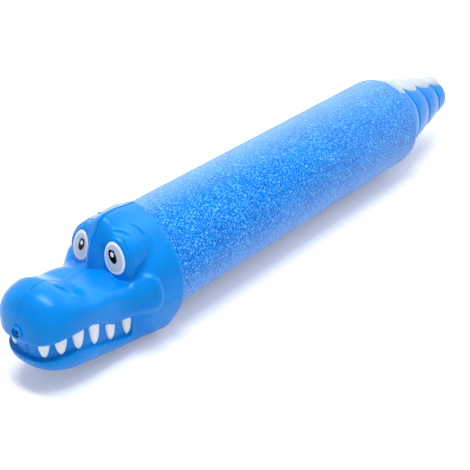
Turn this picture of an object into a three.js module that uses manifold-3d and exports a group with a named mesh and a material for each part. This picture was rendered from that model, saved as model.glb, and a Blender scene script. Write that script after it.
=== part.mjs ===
// Foam water squirter with a crocodile's head and tail.
// Millimetres, +X towards the nose, +Y to the crocodile's left, +Z up.
// Head and barrel pieces are measured from the collar's rear edge on the barrel's axis.
// Tail pieces are measured from the foam's rear end on the same axis.
import * as THREE from 'three';
import { mergeVertices } from 'three/addons/utils/BufferGeometryUtils.js';
import Module from 'manifold-3d';

const wasm = await Module();
wasm.setup();

// Fits and walls
const GAP = 0.3;
const SEAM = 0.3;
const HEAD_WALL = 2.4;
const TAIL_WALL = 2.8;
const RIB = 2.4;

// Foam sleeve and barrel
const FOAM_RADIUS = 28;
const FOAM_SHOWN = 229;
const FOAM_TUCK = 5;
const FOAM_EDGE = 1.2;
const BARREL_RADIUS = 17;
const BARREL_WALL = 1.6;
const BARREL_IN_HEAD = 14;

// Front cap with its spout
const CAP_FLANGE = 3;
const CAP_RIM = 2;
const CAP_PLUG = 8;
const SPOUT_ROOT_RADIUS = 4.2;
const SPOUT_TIP_RADIUS = 1.9;
const SPOUT_BORE_RADIUS = 1.1;
const SPOUT_RECESS = 0.8;
const SEAL_CORD = 2.4;

// Plunger and the guide it slides through
const ROD_RADIUS = 7;
const ROD_WALL = 1.6;
const ROD_FLANGE = 2.6;
const ROD_FLANGE_RIM = 3;
const PISTON_LENGTH = 16;
const PISTON_REST_GAP = 1;
const PISTON_SPIGOT = 9;
const GUIDE_PLUG = 14;
const GUIDE_FLANGE = 2.4;
const GUIDE_RIM = 4;

// Collar and skull of the head
const COLLAR_WALL = 5;
const COLLAR_EDGE = 1.8;
const SKULL_LENGTH = 34;
const SKULL_NECK = 6;
const SKULL_TAPER = 1.2;
const REST_CUT = 1.1;

// Brow that carries the eyes, and the bridge that stands proud of it between them
const BROW_HEIGHT = 30.5;
const BROW_WIDTH = 24;
const BROW_REAR = 2;
const BROW_FRONT = 25.6;
const BROW_ROUND = 13;
const BROW_SIDE_POWER = 2.2;
const BROW_TOP_POWER = 4;
const BROW_PLAN_POWER = 5;
const BRIDGE_HEIGHT = 33;
const BRIDGE_WIDTH = 8;
const BRIDGE_FRONT = 32.3;
const BRIDGE_ROUND = 19;
const BRIDGE_POWER = 2.4;

// Snout with its cheeks, deck and nose
const SNOUT_FRONT = 77.8;
const SNOUT_WIDTH = 21.1;
const DECK_HEIGHT = 12.3;
const DECK_SIDE_POWER = 3;
const NOSE_START = 45;
const NOSE_TOP_AT = 62;
const NOSE_HEIGHT = 19.4;
const NOSE_SIDE_POWER = 2.1;
const NOSE_ROUND = 22;
const NOSE_POWER = 2.7;
const WIDEST_HEIGHT = 2.5;
const CHEEK_REAR = 12;
const CHEEK_ROUND = 7;
const CHEEK_WIDTH = 29.2;
const CHEEK_HEIGHT = 11.6;
const CHEEK_FADE = 33;
const CHEEK_SIDE_POWER = 3.4;
const LIP_POWER = 6;
const NOSTRIL_AT = 52.5;
const NOSTRIL_ACROSS = 6;
const NOSTRIL_LENGTH = 3.4;
const NOSTRIL_WIDTH = 2.4;
const NOSTRIL_DEPTH = 1.4;
const NOZZLE_RING = 1.4;
const NOZZLE_PROUD = 1;

// Mouth: the upper lip, the lower jaw's rim and the band set back between them
const MOUTH_PEAK_AT = 57;
const LIP_PEAK = -0.9;
const LIP_SAG_REAR = 0.021;
const LIP_SAG_FRONT = 0.012;
const LIP_LOWEST = -10.2;
const LIP_HANG = 1.12;
const RIM_REAR = -20;
const RIM_FRONT = -11.3;
const RIM_RISE_REAR = 20;
const RIM_RISE_FRONT = 67;
const RIM_SAG = 0.0105;
const BAND_RECESS = 2.3;
const BAND_REAR = 15;

// Lower jaw
const JAW_FRONT = 75;
const JAW_WIDTH = 20.8;
const JAW_ROUND = 28;
const JAW_PLAN_POWER = 2.8;
const JAW_SIDE_POWER = 2.4;
const JAW_REAR = 2;
const JAW_DEPTH_FRONT = 24.5;
const CHIN_ROUND = 20;

// Teeth, each side on one rail behind the mouth band
const TEETH_PER_SIDE = 6;
const TOOTH_FIRST = 8.2;
const TOOTH_PITCH = 7.3;
const TOOTH_PITCH_GROWTH = 0.44;
const TOOTH_WIDTH = 6.6;
const TOOTH_PROUD = 1.6;
const TOOTH_TO_RIM = 0.9;
const TOOTH_ROOT = 1.6;
const TOOTH_RAIL = 1.6;

// Eyes
const EYE_ACROSS = 10.8;
const EYE_HEIGHT = 17.8;
const EYE_HALF_WIDTH = 5.6;
const EYE_HALF_HEIGHT = 8.1;
const EYE_TILT = 0.22;
const EYE_REACH = 10;
const EYE_PROUD = 0.4;
const EYE_SUNK = 1;

// Tail
const TAIL_ROOT_RADIUS = 24.2;
const TAIL_TIP_RADIUS = 8.4;
const TAIL_LENGTH = 75;
const TAIL_DROOP = 3.2;
const TAIL_TIP_ROUND = 9;
const TAIL_RINGS = 4;
const TAIL_FIRST_RING = 14.6;
const TAIL_RING_SWELL = 0.7;
const GROOVE_DEPTH = 1.2;
const GROOVE_HALF = 1.2;
const TAIL_FRONT_WALL = 3;
const TAIL_SCREW_DROP = 4;
const SCUTE_HALF_ANGLE = 0.58;
const SCUTE_RISE = 3.4;
const SCUTE_EDGE = 0.4;
const SCUTE_SEAT = 1.4;
const SCUTE_FULLNESS = 0.6;

// Self-tapping screws that close the shells, driven in from the right
const SCREW_RADIUS = 1.5;
const SCREW_HEAD_RADIUS = 2.8;
const SCREW_HEAD = 2;
const SCREW_BITE = 9;
const SCREW_SEAT = 6;
const BOSS_WALL = 1.9;

// Facets
const TURN_STEPS = 24;
const RING_STEPS = 20;
const HOLLOW_STEPS = 12;
const PEG_STEPS = 10;
const CORD_STEPS = 6;
const TOOTH_STEPS = 5;
const RAIL_STEPS = 8;
const SCUTE_STEPS = 6;

// Sizes that follow from the driving ones
const COLLAR_RADIUS = FOAM_RADIUS + COLLAR_WALL;
const REST_DEPTH = COLLAR_RADIUS - REST_CUT;
const BORE_RADIUS = BARREL_RADIUS - BARREL_WALL;
const CAP_AT = BARREL_IN_HEAD + GAP;
const CAP_FRONT = CAP_AT + CAP_FLANGE;
const CAP_RADIUS = BARREL_RADIUS + CAP_RIM;
const NOZZLE_FACE = SNOUT_FRONT + NOZZLE_PROUD;
const NOZZLE_RADIUS = SPOUT_TIP_RADIUS + GAP + NOZZLE_RING;
const TAIL_START = 2 * GAP + GUIDE_FLANGE;
const ROD_FLANGE_AT = TAIL_START + TAIL_FRONT_WALL + GAP;
const BOSS_RADIUS = SCREW_HEAD_RADIUS + GAP + BOSS_WALL;
const FAR = 2 * (FOAM_SHOWN + TAIL_LENGTH + NOZZLE_FACE);

const plastic = (color, roughness) => new THREE.MeshStandardMaterial({ color, roughness, metalness: 0 });
const BLUE = plastic(0x1482dc, 0.32);
const FOAM = plastic(0x3f97ea, 0.95);
const WHITE = plastic(0xf4f5f8, 0.4);
const EYE = plastic(0xdfe5ee, 0.35);
const PIPE = plastic(0xe6ebef, 0.4);
const RUBBER = plastic(0x1d1d1f, 0.8);
const STEEL = new THREE.MeshStandardMaterial({ color: 0xb4b8bd, roughness: 0.35, metalness: 1 });

// Small numeric helpers
const mix = (a, b, t) => a + (b - a) * t;
const smooth = THREE.MathUtils.smoothstep;
const clamp = THREE.MathUtils.clamp;
const signedPower = (v, power) => Math.sign(v) * Math.abs(v) ** power;
const series = (count, make) => Array.from({ length: count }, (_, i) => make(i));

// A quarter of a superellipse: 1 at t = 0, falling to almost 0 at t = 1
const roundOff = (t, power) => (1 - clamp(t, 0, 0.9995) ** power) ** (1 / power);

// Shares from 0 to 1 that crowd towards both ends
const crowded = (steps) => series(steps + 1, (i) => (1 - Math.cos((Math.PI * i) / steps)) / 2);

// A closed geometry as a solid for cutting and joining, with its faces turned outwards
function solid(geometry) {
  const bare = geometry.clone();
  bare.deleteAttribute('normal');
  bare.deleteAttribute('uv');
  const merged = mergeVertices(bare, 1e-4);
  const make = (triVerts) => new wasm.Manifold(new wasm.Mesh({
    numProp: 3,
    vertProperties: new Float32Array(merged.attributes.position.array),
    triVerts: new Uint32Array(triVerts),
  }));
  const faces = Array.from(merged.index.array);
  const body = make(faces);
  return body.volume() < 0 ? make(faces.reverse()) : body;
}

// A solid's surface as a three.js geometry
function surface(body) {
  const { vertProperties, triVerts } = body.getMesh();
  const geometry = new THREE.BufferGeometry();
  geometry.setAttribute('position', new THREE.BufferAttribute(vertProperties, 3));
  geometry.setIndex(new THREE.BufferAttribute(triVerts, 1));
  return geometry;
}

const join = (...bodies) => bodies.reduce((a, b) => a.add(b));
const cut = (body, ...tools) => tools.reduce((a, b) => a.subtract(b), body);
const common = (...bodies) => bodies.reduce((a, b) => a.intersect(b));
const mirrored = (body) => solid(surface(body).scale(1, -1, 1));

// A finished solid as a named mesh
function piece(name, body, material) {
  const geometry = surface(body);
  geometry.computeVertexNormals();
  const mesh = new THREE.Mesh(geometry, material);
  mesh.name = name;
  return mesh;
}

// A solid skinned over closed rings of [x, y, z] points and capped at both ends
function skin(rings) {
  const count = rings[0].length;
  const points = rings.flat();
  const faces = [];
  for (let i = 0; i + 1 < rings.length; i += 1) {
    for (let j = 0; j < count; j += 1) {
      const a = i * count + j;
      const b = i * count + ((j + 1) % count);
      faces.push(a, b, a + count, b, b + count, a + count);
    }
  }
  for (const [ring, last] of [[0, false], [rings.length - 1, true]]) {
    const centre = points.length;
    points.push([0, 1, 2].map((axis) => rings[ring].reduce((sum, p) => sum + p[axis], 0) / count));
    for (let j = 0; j < count; j += 1) {
      const a = ring * count + j;
      const b = ring * count + ((j + 1) % count);
      faces.push(centre, last ? a : b, last ? b : a);
    }
  }
  const geometry = new THREE.BufferGeometry();
  geometry.setAttribute('position', new THREE.Float32BufferAttribute(points.flat(), 3));
  geometry.setIndex(faces);
  return solid(geometry);
}

// A solid skinned over [y, z] sections that stand at stations along X
const loft = (stations, sectionAt) => skin(
  stations.map((x, i) => sectionAt(x, i).map(([y, z]) => [x, y, z])),
);

// A solid turned about the X axis from a closed profile of [x, radius] points
function turned(profile) {
  const points = profile.map(([x, r]) => new THREE.Vector2(r, x));
  points.push(points[0].clone());
  return solid(new THREE.LatheGeometry(points, TURN_STEPS).rotateZ(-Math.PI / 2));
}

const shaft = (x0, x1, r0, r1 = r0) => turned([[x0, 0], [x0, r0], [x1, r1], [x1, 0]]);
const tube = (x0, x1, outer, inner) => turned([[x0, inner], [x0, outer], [x1, outer], [x1, inner]]);

// A block between two corners
function block(low, high) {
  const size = high.map((v, i) => v - low[i]);
  return solid(new THREE.BoxGeometry(...size).translate(...low.map((v, i) => v + size[i] / 2)));
}

const slab = (x0, x1) => block([x0, -FAR, -FAR], [x1, FAR, FAR]);
const leftSide = block([-FAR, SEAM / 2, -FAR], [FAR, FAR, FAR]);
const rightSide = block([-FAR, -FAR, -FAR], [FAR, -SEAM / 2, FAR]);

// A round peg along Y
const peg = (x, z, y0, y1, radius) => solid(
  new THREE.CylinderGeometry(radius, radius, y1 - y0, PEG_STEPS).translate(x, (y0 + y1) / 2, z),
);

// An O-ring about the X axis that fills the barrel's bore
const SEAL_RADIUS = BORE_RADIUS - GAP - SEAL_CORD / 2;
const sealRing = (x) => solid(
  new THREE.TorusGeometry(SEAL_RADIUS, SEAL_CORD / 2, CORD_STEPS, TURN_STEPS).rotateY(Math.PI / 2).translate(x, 0, 0),
);

// The corner points of the groove that holds such a ring, from rear to front
function sealGroove(x) {
  const half = SEAL_CORD / 2 + GAP;
  const floor = SEAL_RADIUS - half;
  const land = BORE_RADIUS - 2 * GAP;
  return [[x - half, land], [x - half, floor], [x + half, floor], [x + half, land]];
}

// Screws: the shells' bosses, their holes and the screws themselves
const boss = ([x, z], body) => common(peg(x, z, -FAR, FAR, BOSS_RADIUS), body);
const screwHole = ([x, z]) => join(
  peg(x, z, -FAR, -SCREW_SEAT, SCREW_HEAD_RADIUS + GAP),
  peg(x, z, -SCREW_SEAT - GAP, SCREW_BITE + GAP, SCREW_RADIUS + GAP),
);
const screw = ([x, z]) => join(
  peg(x, z, -SCREW_SEAT - GAP - SCREW_HEAD, -SCREW_SEAT - GAP, SCREW_HEAD_RADIUS),
  peg(x, z, -SCREW_SEAT - GAP - SCREW_HEAD / 2, SCREW_BITE, SCREW_RADIUS),
);

// Heights of the upper lip and of the lower jaw's rim along the mouth
const lipSag = (u) => (u < MOUTH_PEAK_AT ? LIP_SAG_REAR : LIP_SAG_FRONT);
const lipAt = (u) => Math.max(LIP_PEAK - lipSag(u) * (u - MOUTH_PEAK_AT) ** 2, LIP_LOWEST);
const chinSag = (u) => RIM_SAG * Math.max(u - MOUTH_PEAK_AT, 0) ** 2;
const rimAt = (u) => mix(RIM_REAR, RIM_FRONT, smooth(u, RIM_RISE_REAR, RIM_RISE_FRONT)) - chinSag(u);

// Half widths of the jaw's rim and of the mouth band: parallel sides that close in a round front
const roundFront = (u, front) => roundOff((u - front + JAW_ROUND) / JAW_ROUND, JAW_PLAN_POWER);
const BAND_FRONT = JAW_FRONT - BAND_RECESS;
const jawHalf = (u) => JAW_WIDTH * roundFront(u, JAW_FRONT);
const bandHalf = (u) => (JAW_WIDTH - BAND_RECESS) * roundFront(u, BAND_FRONT);
const keelAt = (u) => mix(COLLAR_RADIUS, JAW_DEPTH_FRONT, u / JAW_FRONT);

// A form of the head between two stations. An inset shrinks it, and coarsens it, to hollow the shell.
function headForm(rear, front, steps, inset, sectionAt) {
  const shares = crowded(inset > 0 ? Math.ceil(steps / 3) : steps);
  const ringSteps = inset > 0 ? HOLLOW_STEPS : RING_STEPS;
  const stations = shares.map((s) => mix(rear + inset, front - inset, s));
  return loft(stations, (x, i) => sectionAt(mix(rear, front, shares[i]), ringSteps));
}

// A section of [y, z] points on a superellipse whose upper and lower halves have their own shape
function section(steps, half, middle, upper, lower) {
  return series(steps, (j) => {
    const turn = (2 * Math.PI * j) / steps;
    const [height, power] = Math.sin(turn) > 0 ? upper : lower;
    return [
      half * signedPower(Math.cos(turn), 2 / power),
      middle + height * signedPower(Math.sin(turn), 2 / power),
    ];
  });
}

// Collar and skull: a round collar that narrows forward into the head
const skull = (inset) => headForm(0, SKULL_LENGTH, 9, inset, (u) => {
  const edge = COLLAR_EDGE * (1 - roundOff((COLLAR_EDGE - u) / COLLAR_EDGE, 2));
  const taper = (u / SKULL_LENGTH) ** SKULL_TAPER;
  const radius = mix(COLLAR_RADIUS, SKULL_NECK, taper) - edge - inset;
  return section(inset > 0 ? HOLLOW_STEPS : TURN_STEPS, radius, 0, [radius, 2], [radius, 2]);
});

// Brow: a dome over the skull whose steep front carries the eyes
const browShare = (u) => (u - BROW_FRONT + BROW_ROUND) / BROW_ROUND;
const browTop = (u) => BROW_HEIGHT * roundOff(browShare(u), BROW_TOP_POWER);
const browHalf = (u) => BROW_WIDTH * roundOff(browShare(u), BROW_PLAN_POWER);
const browForm = (inset, steps, ringSteps) => {
  const shares = crowded(steps);
  const stations = shares.map((s) => mix(BROW_REAR + inset, BROW_FRONT - inset, s));
  return loft(stations, (x, i) => {
    const u = mix(BROW_REAR, BROW_FRONT, shares[i]);
    const top = Math.max(browTop(u) - inset, HEAD_WALL);
    const half = Math.max(browHalf(u) - inset, HEAD_WALL);
    return section(ringSteps, half, 0, [top, BROW_SIDE_POWER], [HEAD_WALL, 2]);
  });
};
const brow = (inset) => (inset > 0 ? browForm(inset, 5, HOLLOW_STEPS) : browForm(0, 9, RING_STEPS));

// Bridge: a narrow solid ridge from the collar's top, over the brow and down between the eyes
const bridge = headForm(BROW_REAR, BRIDGE_FRONT, 6, 0, (u) => {
  const share = (u - BRIDGE_FRONT + BRIDGE_ROUND) / BRIDGE_ROUND;
  const top = BRIDGE_HEIGHT * roundOff(share, BRIDGE_POWER);
  return section(HOLLOW_STEPS, BRIDGE_WIDTH * roundOff(share, 2), 0, [top, 2], [HEAD_WALL, 2]);
});

// Snout: cheeks at the rear, a flat deck and a swollen nose that closes round the nozzle
const snout = (inset) => headForm(CHEEK_REAR, SNOUT_FRONT, 18, inset, (u, steps) => {
  const nose = smooth(u, NOSE_START, NOSE_TOP_AT);
  const cheek = 1 - smooth(u, CHEEK_REAR, CHEEK_FADE);
  const closing = roundOff((u - SNOUT_FRONT + NOSE_ROUND) / NOSE_ROUND, NOSE_POWER);
  const opening = roundOff((CHEEK_REAR + CHEEK_ROUND - u) / CHEEK_ROUND, NOSE_POWER);
  const deck = mix(CHEEK_HEIGHT, DECK_HEIGHT, smooth(u, CHEEK_REAR + CHEEK_ROUND, CHEEK_FADE));
  const half = mix(SNOUT_WIDTH, CHEEK_WIDTH, cheek) * closing - inset;
  const top = (mix(deck, NOSE_HEIGHT, nose) - WIDEST_HEIGHT) * closing * opening - inset;
  const lip = (WIDEST_HEIGHT - lipAt(u)) * LIP_HANG * Math.sqrt(closing) * opening - inset;
  const sidePower = mix(mix(DECK_SIDE_POWER, NOSE_SIDE_POWER, nose), CHEEK_SIDE_POWER, cheek);
  return section(
    steps,
    Math.max(half, GAP),
    WIDEST_HEIGHT * closing,
    [Math.max(top, GAP), sidePower],
    [Math.max(lip, GAP), LIP_POWER],
  );
});

// Lower jaw: a flat rim over a rounded, boat-shaped underside
const jaw = (inset) => headForm(JAW_REAR, JAW_FRONT, 12, inset, (u, steps) => {
  const half = Math.max(jawHalf(u) - inset, GAP);
  const chin = roundOff((u - JAW_FRONT + CHIN_ROUND) / CHIN_ROUND, JAW_SIDE_POWER);
  const depth = Math.max((keelAt(u) + rimAt(u)) * chin - 2 * inset, GAP);
  return series(steps / 2 + 1, (j) => {
    const turn = Math.PI * (1 + (2 * j) / steps);
    return [
      half * signedPower(Math.cos(turn), 2 / JAW_SIDE_POWER),
      rimAt(u) - inset + depth * signedPower(Math.sin(turn), 2 / JAW_SIDE_POWER),
    ];
  });
});

// Mouth band: upright walls, set back from the lips, that join snout and jaw
const mouthBand = (inset) => headForm(BAND_REAR, BAND_FRONT, 12, inset, (u) => {
  const half = Math.max(bandHalf(u) - inset, GAP);
  const low = rimAt(u) - 2 * HEAD_WALL;
  const high = lipAt(u) + 2 * HEAD_WALL;
  return [[half, low], [half, high], [-half, high], [-half, low]];
});

const headForms = (inset) => join(skull(inset), brow(inset), snout(inset), jaw(inset), mouthBand(inset));

// The seat of the left eye: where the brow's front has the eye's height, and the way it faces there
function eyeSeat() {
  const level = (u, y, z) => (y / browHalf(u)) ** BROW_SIDE_POWER + (z / browTop(u)) ** BROW_SIDE_POWER - 1;
  let inside = BROW_FRONT - BROW_ROUND;
  let outside = BROW_FRONT;
  for (let i = 0; i < 40; i += 1) {
    const middle = (inside + outside) / 2;
    if (level(middle, EYE_ACROSS, EYE_HEIGHT) < 0) inside = middle;
    else outside = middle;
  }
  const step = 0.01;
  const at = level(inside, EYE_ACROSS, EYE_HEIGHT);
  const facing = new THREE.Vector3(
    level(inside + step, EYE_ACROSS, EYE_HEIGHT) - at,
    level(inside, EYE_ACROSS + step, EYE_HEIGHT) - at,
    level(inside, EYE_ACROSS, EYE_HEIGHT + step) - at,
  ).normalize();
  return { point: new THREE.Vector3(inside, EYE_ACROSS, EYE_HEIGHT), facing };
}

// An oval column through the left eye's seat, along the way the eye faces
function eyeColumn(margin) {
  const { point, facing } = eyeSeat();
  const across = new THREE.Vector3(0, 0, 1).cross(facing).normalize();
  const frame = new THREE.Matrix4().makeBasis(across, facing, across.clone().cross(facing)).setPosition(point);
  const column = new THREE.CylinderGeometry(1, 1, EYE_REACH, TURN_STEPS)
    .scale(EYE_HALF_WIDTH + margin, 1, EYE_HALF_HEIGHT + margin)
    .rotateY(EYE_TILT)
    .applyMatrix4(frame);
  return solid(column);
}

// The eye is a plate that follows the brow in a shallow oval pocket
const EYE_STEPS = 11;
const leftEye = cut(
  common(eyeColumn(0), browForm(-EYE_PROUD, EYE_STEPS, RING_STEPS)),
  browForm(EYE_SUNK, EYE_STEPS, RING_STEPS),
);
const leftPocket = cut(eyeColumn(GAP), browForm(EYE_SUNK + GAP, EYE_STEPS, RING_STEPS));

// A walk along the left mouth band from its front: the place, tangent and outward way at a distance
function bandWalk() {
  const steps = 200;
  const points = series(steps + 1, (i) => {
    const u = mix(BAND_FRONT, BAND_REAR, (i / steps) ** 2);
    return new THREE.Vector2(u, bandHalf(u));
  });
  const lengths = [0];
  for (let i = 1; i <= steps; i += 1) lengths.push(lengths[i - 1] + points[i].distanceTo(points[i - 1]));
  return (distance) => {
    const found = lengths.findIndex((length) => length >= distance);
    const i = found < 1 ? steps : found;
    const place = points[i - 1].clone().lerp(points[i], (distance - lengths[i - 1]) / (lengths[i] - lengths[i - 1]));
    const along = points[i].clone().sub(points[i - 1]).normalize();
    return { place, along, out: new THREE.Vector2(along.y, -along.x) };
  };
}
const walk = bandWalk();
const toothAt = (i) => TOOTH_FIRST + i * (TOOTH_PITCH + i * TOOTH_PITCH_GROWTH);

// A tooth that hangs from the lip: it narrows to a rounded point and stands through the band
function tooth(distance, margin) {
  const { place, along, out } = walk(distance);
  const spread = (TOOTH_WIDTH / 2) * Math.abs(along.x);
  const top = Math.max(lipAt(place.x - spread), lipAt(place.x + spread)) + TOOTH_ROOT + margin;
  const tip = rimAt(place.x) + TOOTH_TO_RIM - margin;
  const half = TOOTH_WIDTH / 2 + margin;
  const side = series(TOOTH_STEPS, (i) => [half * (1 - (i / TOOTH_STEPS) ** 3), mix(top, tip, i / TOOTH_STEPS)]);
  const shape = new THREE.Shape();
  shape.moveTo(-side[0][0], side[0][1]);
  side.slice(1).forEach(([w, z]) => shape.lineTo(-w, z));
  shape.lineTo(0, tip);
  side.slice().reverse().forEach(([w, z]) => shape.lineTo(w, z));
  const inner = HEAD_WALL + GAP + TOOTH_RAIL / 2;
  const depth = inner + TOOTH_PROUD + margin;
  const geometry = new THREE.ExtrudeGeometry(shape, { depth, bevelEnabled: false });
  const frame = new THREE.Matrix4().makeBasis(
    new THREE.Vector3(along.x, along.y, 0),
    new THREE.Vector3(0, 0, 1),
    new THREE.Vector3(out.x, out.y, 0),
  );
  frame.setPosition(place.x - out.x * inner, place.y - out.y * inner, 0);
  return solid(geometry.applyMatrix4(frame));
}

// The rail that carries one side's teeth, close behind the mouth band
function toothRail(margin) {
  const first = TOOTH_FIRST - TOOTH_WIDTH / 2 - margin;
  const last = toothAt(TEETH_PER_SIDE - 1) + TOOTH_WIDTH / 2 + margin;
  return skin(series(RAIL_STEPS + 1, (i) => {
    const { place, out } = walk(mix(first, last, i / RAIL_STEPS));
    const low = rimAt(place.x) + TOOTH_TO_RIM - margin;
    const high = lipAt(place.x) + TOOTH_ROOT + margin;
    const near = HEAD_WALL + GAP - margin;
    const far = near + TOOTH_RAIL + 2 * margin;
    const corner = (depth, z) => [place.x - out.x * depth, place.y - out.y * depth, z];
    return [corner(near, low), corner(near, high), corner(far, high), corner(far, low)];
  }));
}

const toothSet = (margin) => join(
  toothRail(margin),
  ...series(TEETH_PER_SIDE, (i) => tooth(toothAt(i), margin)),
);
const leftTeeth = toothSet(0);
const leftToothRoom = toothSet(GAP);

// A nostril: an oval dimple behind the nose
function nostril(side) {
  const height = mix(DECK_HEIGHT, NOSE_HEIGHT, smooth(NOSTRIL_AT, NOSE_START, NOSE_TOP_AT));
  return solid(new THREE.SphereGeometry(1, 10, 6)
    .scale(NOSTRIL_LENGTH, NOSTRIL_WIDTH, NOSTRIL_DEPTH)
    .translate(NOSTRIL_AT, side * NOSTRIL_ACROSS, height));
}

// Head shell: the joined forms, hollowed, ribbed for the barrel and bored for what passes through
const headScrews = {
  brow: [BROW_REAR + BOSS_RADIUS + HEAD_WALL, BROW_HEIGHT - HEAD_WALL / 2 - BOSS_RADIUS],
  nose: [NOSE_TOP_AT, NOSE_HEIGHT - 1.5 * HEAD_WALL - BOSS_RADIUS],
  jaw: [JAW_FRONT - JAW_ROUND - BOSS_RADIUS, HEAD_WALL + BOSS_RADIUS - keelAt(JAW_FRONT - JAW_ROUND)],
};

const headOuter = cut(
  join(headForms(0), bridge, shaft(SNOUT_FRONT - NOZZLE_RADIUS, NOZZLE_FACE, NOZZLE_RADIUS)),
  block([-FAR, -FAR, -FAR], [FAR, FAR, -REST_DEPTH]),
);
const foamStop = FOAM_TUCK + GAP;
const headRibs = common(headOuter, join(
  slab(foamStop, foamStop + RIB),
  slab(CAP_AT - GAP - RIB, CAP_AT - GAP),
  slab(CAP_FRONT + GAP, CAP_FRONT + GAP + RIB),
));
const headRoom = join(
  shaft(-FAR, foamStop, FOAM_RADIUS + GAP),
  shaft(0, CAP_AT, BARREL_RADIUS + GAP),
  shaft(CAP_AT - GAP, CAP_FRONT + GAP, CAP_RADIUS + GAP),
  shaft(CAP_FRONT, NOZZLE_FACE + GAP, SPOUT_ROOT_RADIUS + GAP, SPOUT_TIP_RADIUS + GAP),
);
const headShell = cut(
  join(
    cut(headOuter, headForms(HEAD_WALL)),
    headRibs,
    ...Object.values(headScrews).map((at) => boss(at, headOuter)),
  ),
  headRoom,
  leftPocket,
  mirrored(leftPocket),
  leftToothRoom,
  mirrored(leftToothRoom),
  nostril(1),
  nostril(-1),
  ...Object.values(headScrews).map(screwHole),
);

// Tail: a blunt cone of swollen rings with a row of white scutes along its back
const ringPitch = (TAIL_LENGTH - TAIL_FIRST_RING) / (TAIL_RINGS - 1);
const grooves = series(TAIL_RINGS - 1, (i) => TAIL_FIRST_RING + i * ringPitch);
const ringEnds = [0, ...grooves, TAIL_LENGTH];
const ringShare = (d) => {
  const i = clamp(ringEnds.findLastIndex((end) => end <= d), 0, TAIL_RINGS - 1);
  return (d - ringEnds[i]) / (ringEnds[i + 1] - ringEnds[i]);
};
const tailTip = (d) => roundOff((d - TAIL_LENGTH + TAIL_TIP_ROUND) / TAIL_TIP_ROUND, 2);
const tailCone = (d) => mix(TAIL_ROOT_RADIUS, TAIL_TIP_RADIUS, d / TAIL_LENGTH) * tailTip(d);
const groove = (d) => Math.max(0, ...grooves.map((g) => 1 - Math.abs(d - g) / GROOVE_HALF));
const tailRadius = (d) => tailCone(d) + TAIL_RING_SWELL * Math.sin(Math.PI * ringShare(d)) * tailTip(d)
  - GROOVE_DEPTH * groove(d);
const tailMiddle = (d) => (-TAIL_DROOP * d) / TAIL_LENGTH;

// Stations along the tail: each ring's swell, each groove's sides and floor, and the round tip
const tailStations = [
  TAIL_START,
  ...ringEnds.slice(0, -1).flatMap((start, i) => {
    const rear = ringEnds[i + 1];
    const front = Math.max(start, TAIL_START);
    const inner = [0.35, 0.65].map((s) => mix(front, rear, s));
    const isLast = i === TAIL_RINGS - 1;
    const sides = isLast ? [] : [rear - GROOVE_HALF, rear, rear + GROOVE_HALF];
    return [...inner, ...sides];
  }),
  ...[0, 0.5, 0.85, 1].map((s) => TAIL_LENGTH - TAIL_TIP_ROUND * (1 - s)),
].sort((a, b) => a - b);

const tailForm = (stations, radiusAt) => loft(stations.map((d) => -d), (x) => {
  const radius = radiusAt(-x);
  return section(RING_STEPS, radius, tailMiddle(-x), [radius, 2], [radius, 2]);
});

// A strip along the tail's back between two radii, bent about the tail's middle
function backStrip(stations, halfAngleAt, innerAt, outerAt) {
  return skin(stations.map((d) => {
    const arc = (radiusAt, sign) => series(SCUTE_STEPS + 1, (i) => {
      const share = sign * mix(-1, 1, i / SCUTE_STEPS);
      const turn = share * halfAngleAt(d);
      const radius = radiusAt(d, share);
      return [-d, radius * Math.sin(turn), tailMiddle(d) + radius * Math.cos(turn)];
    });
    return [...arc(outerAt, 1), ...arc(innerAt, -1)];
  }));
}

const dome = (d, share) => Math.sin(Math.PI * ringShare(d)) * Math.cos((Math.PI / 2) * share);
const scuteRise = (d, share) => mix(SCUTE_EDGE, SCUTE_RISE, dome(d, share) ** SCUTE_FULLNESS);
const scuteEnd = TAIL_LENGTH - TAIL_TIP_ROUND / 2;
const scuteStations = [
  ...tailStations.filter((d) => d > TAIL_START + SCUTE_EDGE && d < scuteEnd - SCUTE_EDGE),
  scuteEnd,
];
const scuteStrip = backStrip(
  scuteStations,
  () => SCUTE_HALF_ANGLE,
  (d) => tailCone(d) - SCUTE_SEAT,
  (d, share) => tailCone(d) + scuteRise(d, share),
);
const scuteRoom = backStrip(
  [scuteStations[0] - GAP, TAIL_LENGTH - TAIL_TIP_ROUND, scuteEnd + GAP],
  (d) => SCUTE_HALF_ANGLE + GAP / tailCone(d),
  (d) => tailCone(d) - SCUTE_SEAT - GAP,
  (d) => tailCone(d) + 2 * SCUTE_RISE,
);

// Tail screws sit below the middle of the second and third rings
const tailScrewAt = (ring) => {
  const d = (ringEnds[ring] + ringEnds[ring + 1]) / 2;
  return [-d, tailMiddle(d) - TAIL_SCREW_DROP];
};
const tailScrews = { front: tailScrewAt(1), rear: tailScrewAt(2) };
const rodEnd = ROD_FLANGE_AT + ROD_FLANGE;
const tailOuter = tailForm(tailStations, tailRadius);
const tailHollow = tailForm(
  [TAIL_START + TAIL_FRONT_WALL, ...grooves, TAIL_LENGTH - TAIL_TIP_ROUND],
  (d) => tailCone(d) - TAIL_WALL,
);
const rodFlangeRadius = ROD_RADIUS + ROD_FLANGE_RIM;
const tailShell = cut(
  join(
    cut(tailOuter, tailHollow),
    common(tailOuter, slab(-rodEnd - GAP - RIB, -rodEnd - GAP)),
    ...Object.values(tailScrews).map((at) => boss(at, tailOuter)),
  ),
  shaft(-rodEnd - GAP, 0, ROD_RADIUS + GAP),
  shaft(-rodEnd - GAP, -ROD_FLANGE_AT + GAP, rodFlangeRadius + GAP),
  scuteRoom,
  ...Object.values(tailScrews).map(screwHole),
);

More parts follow.
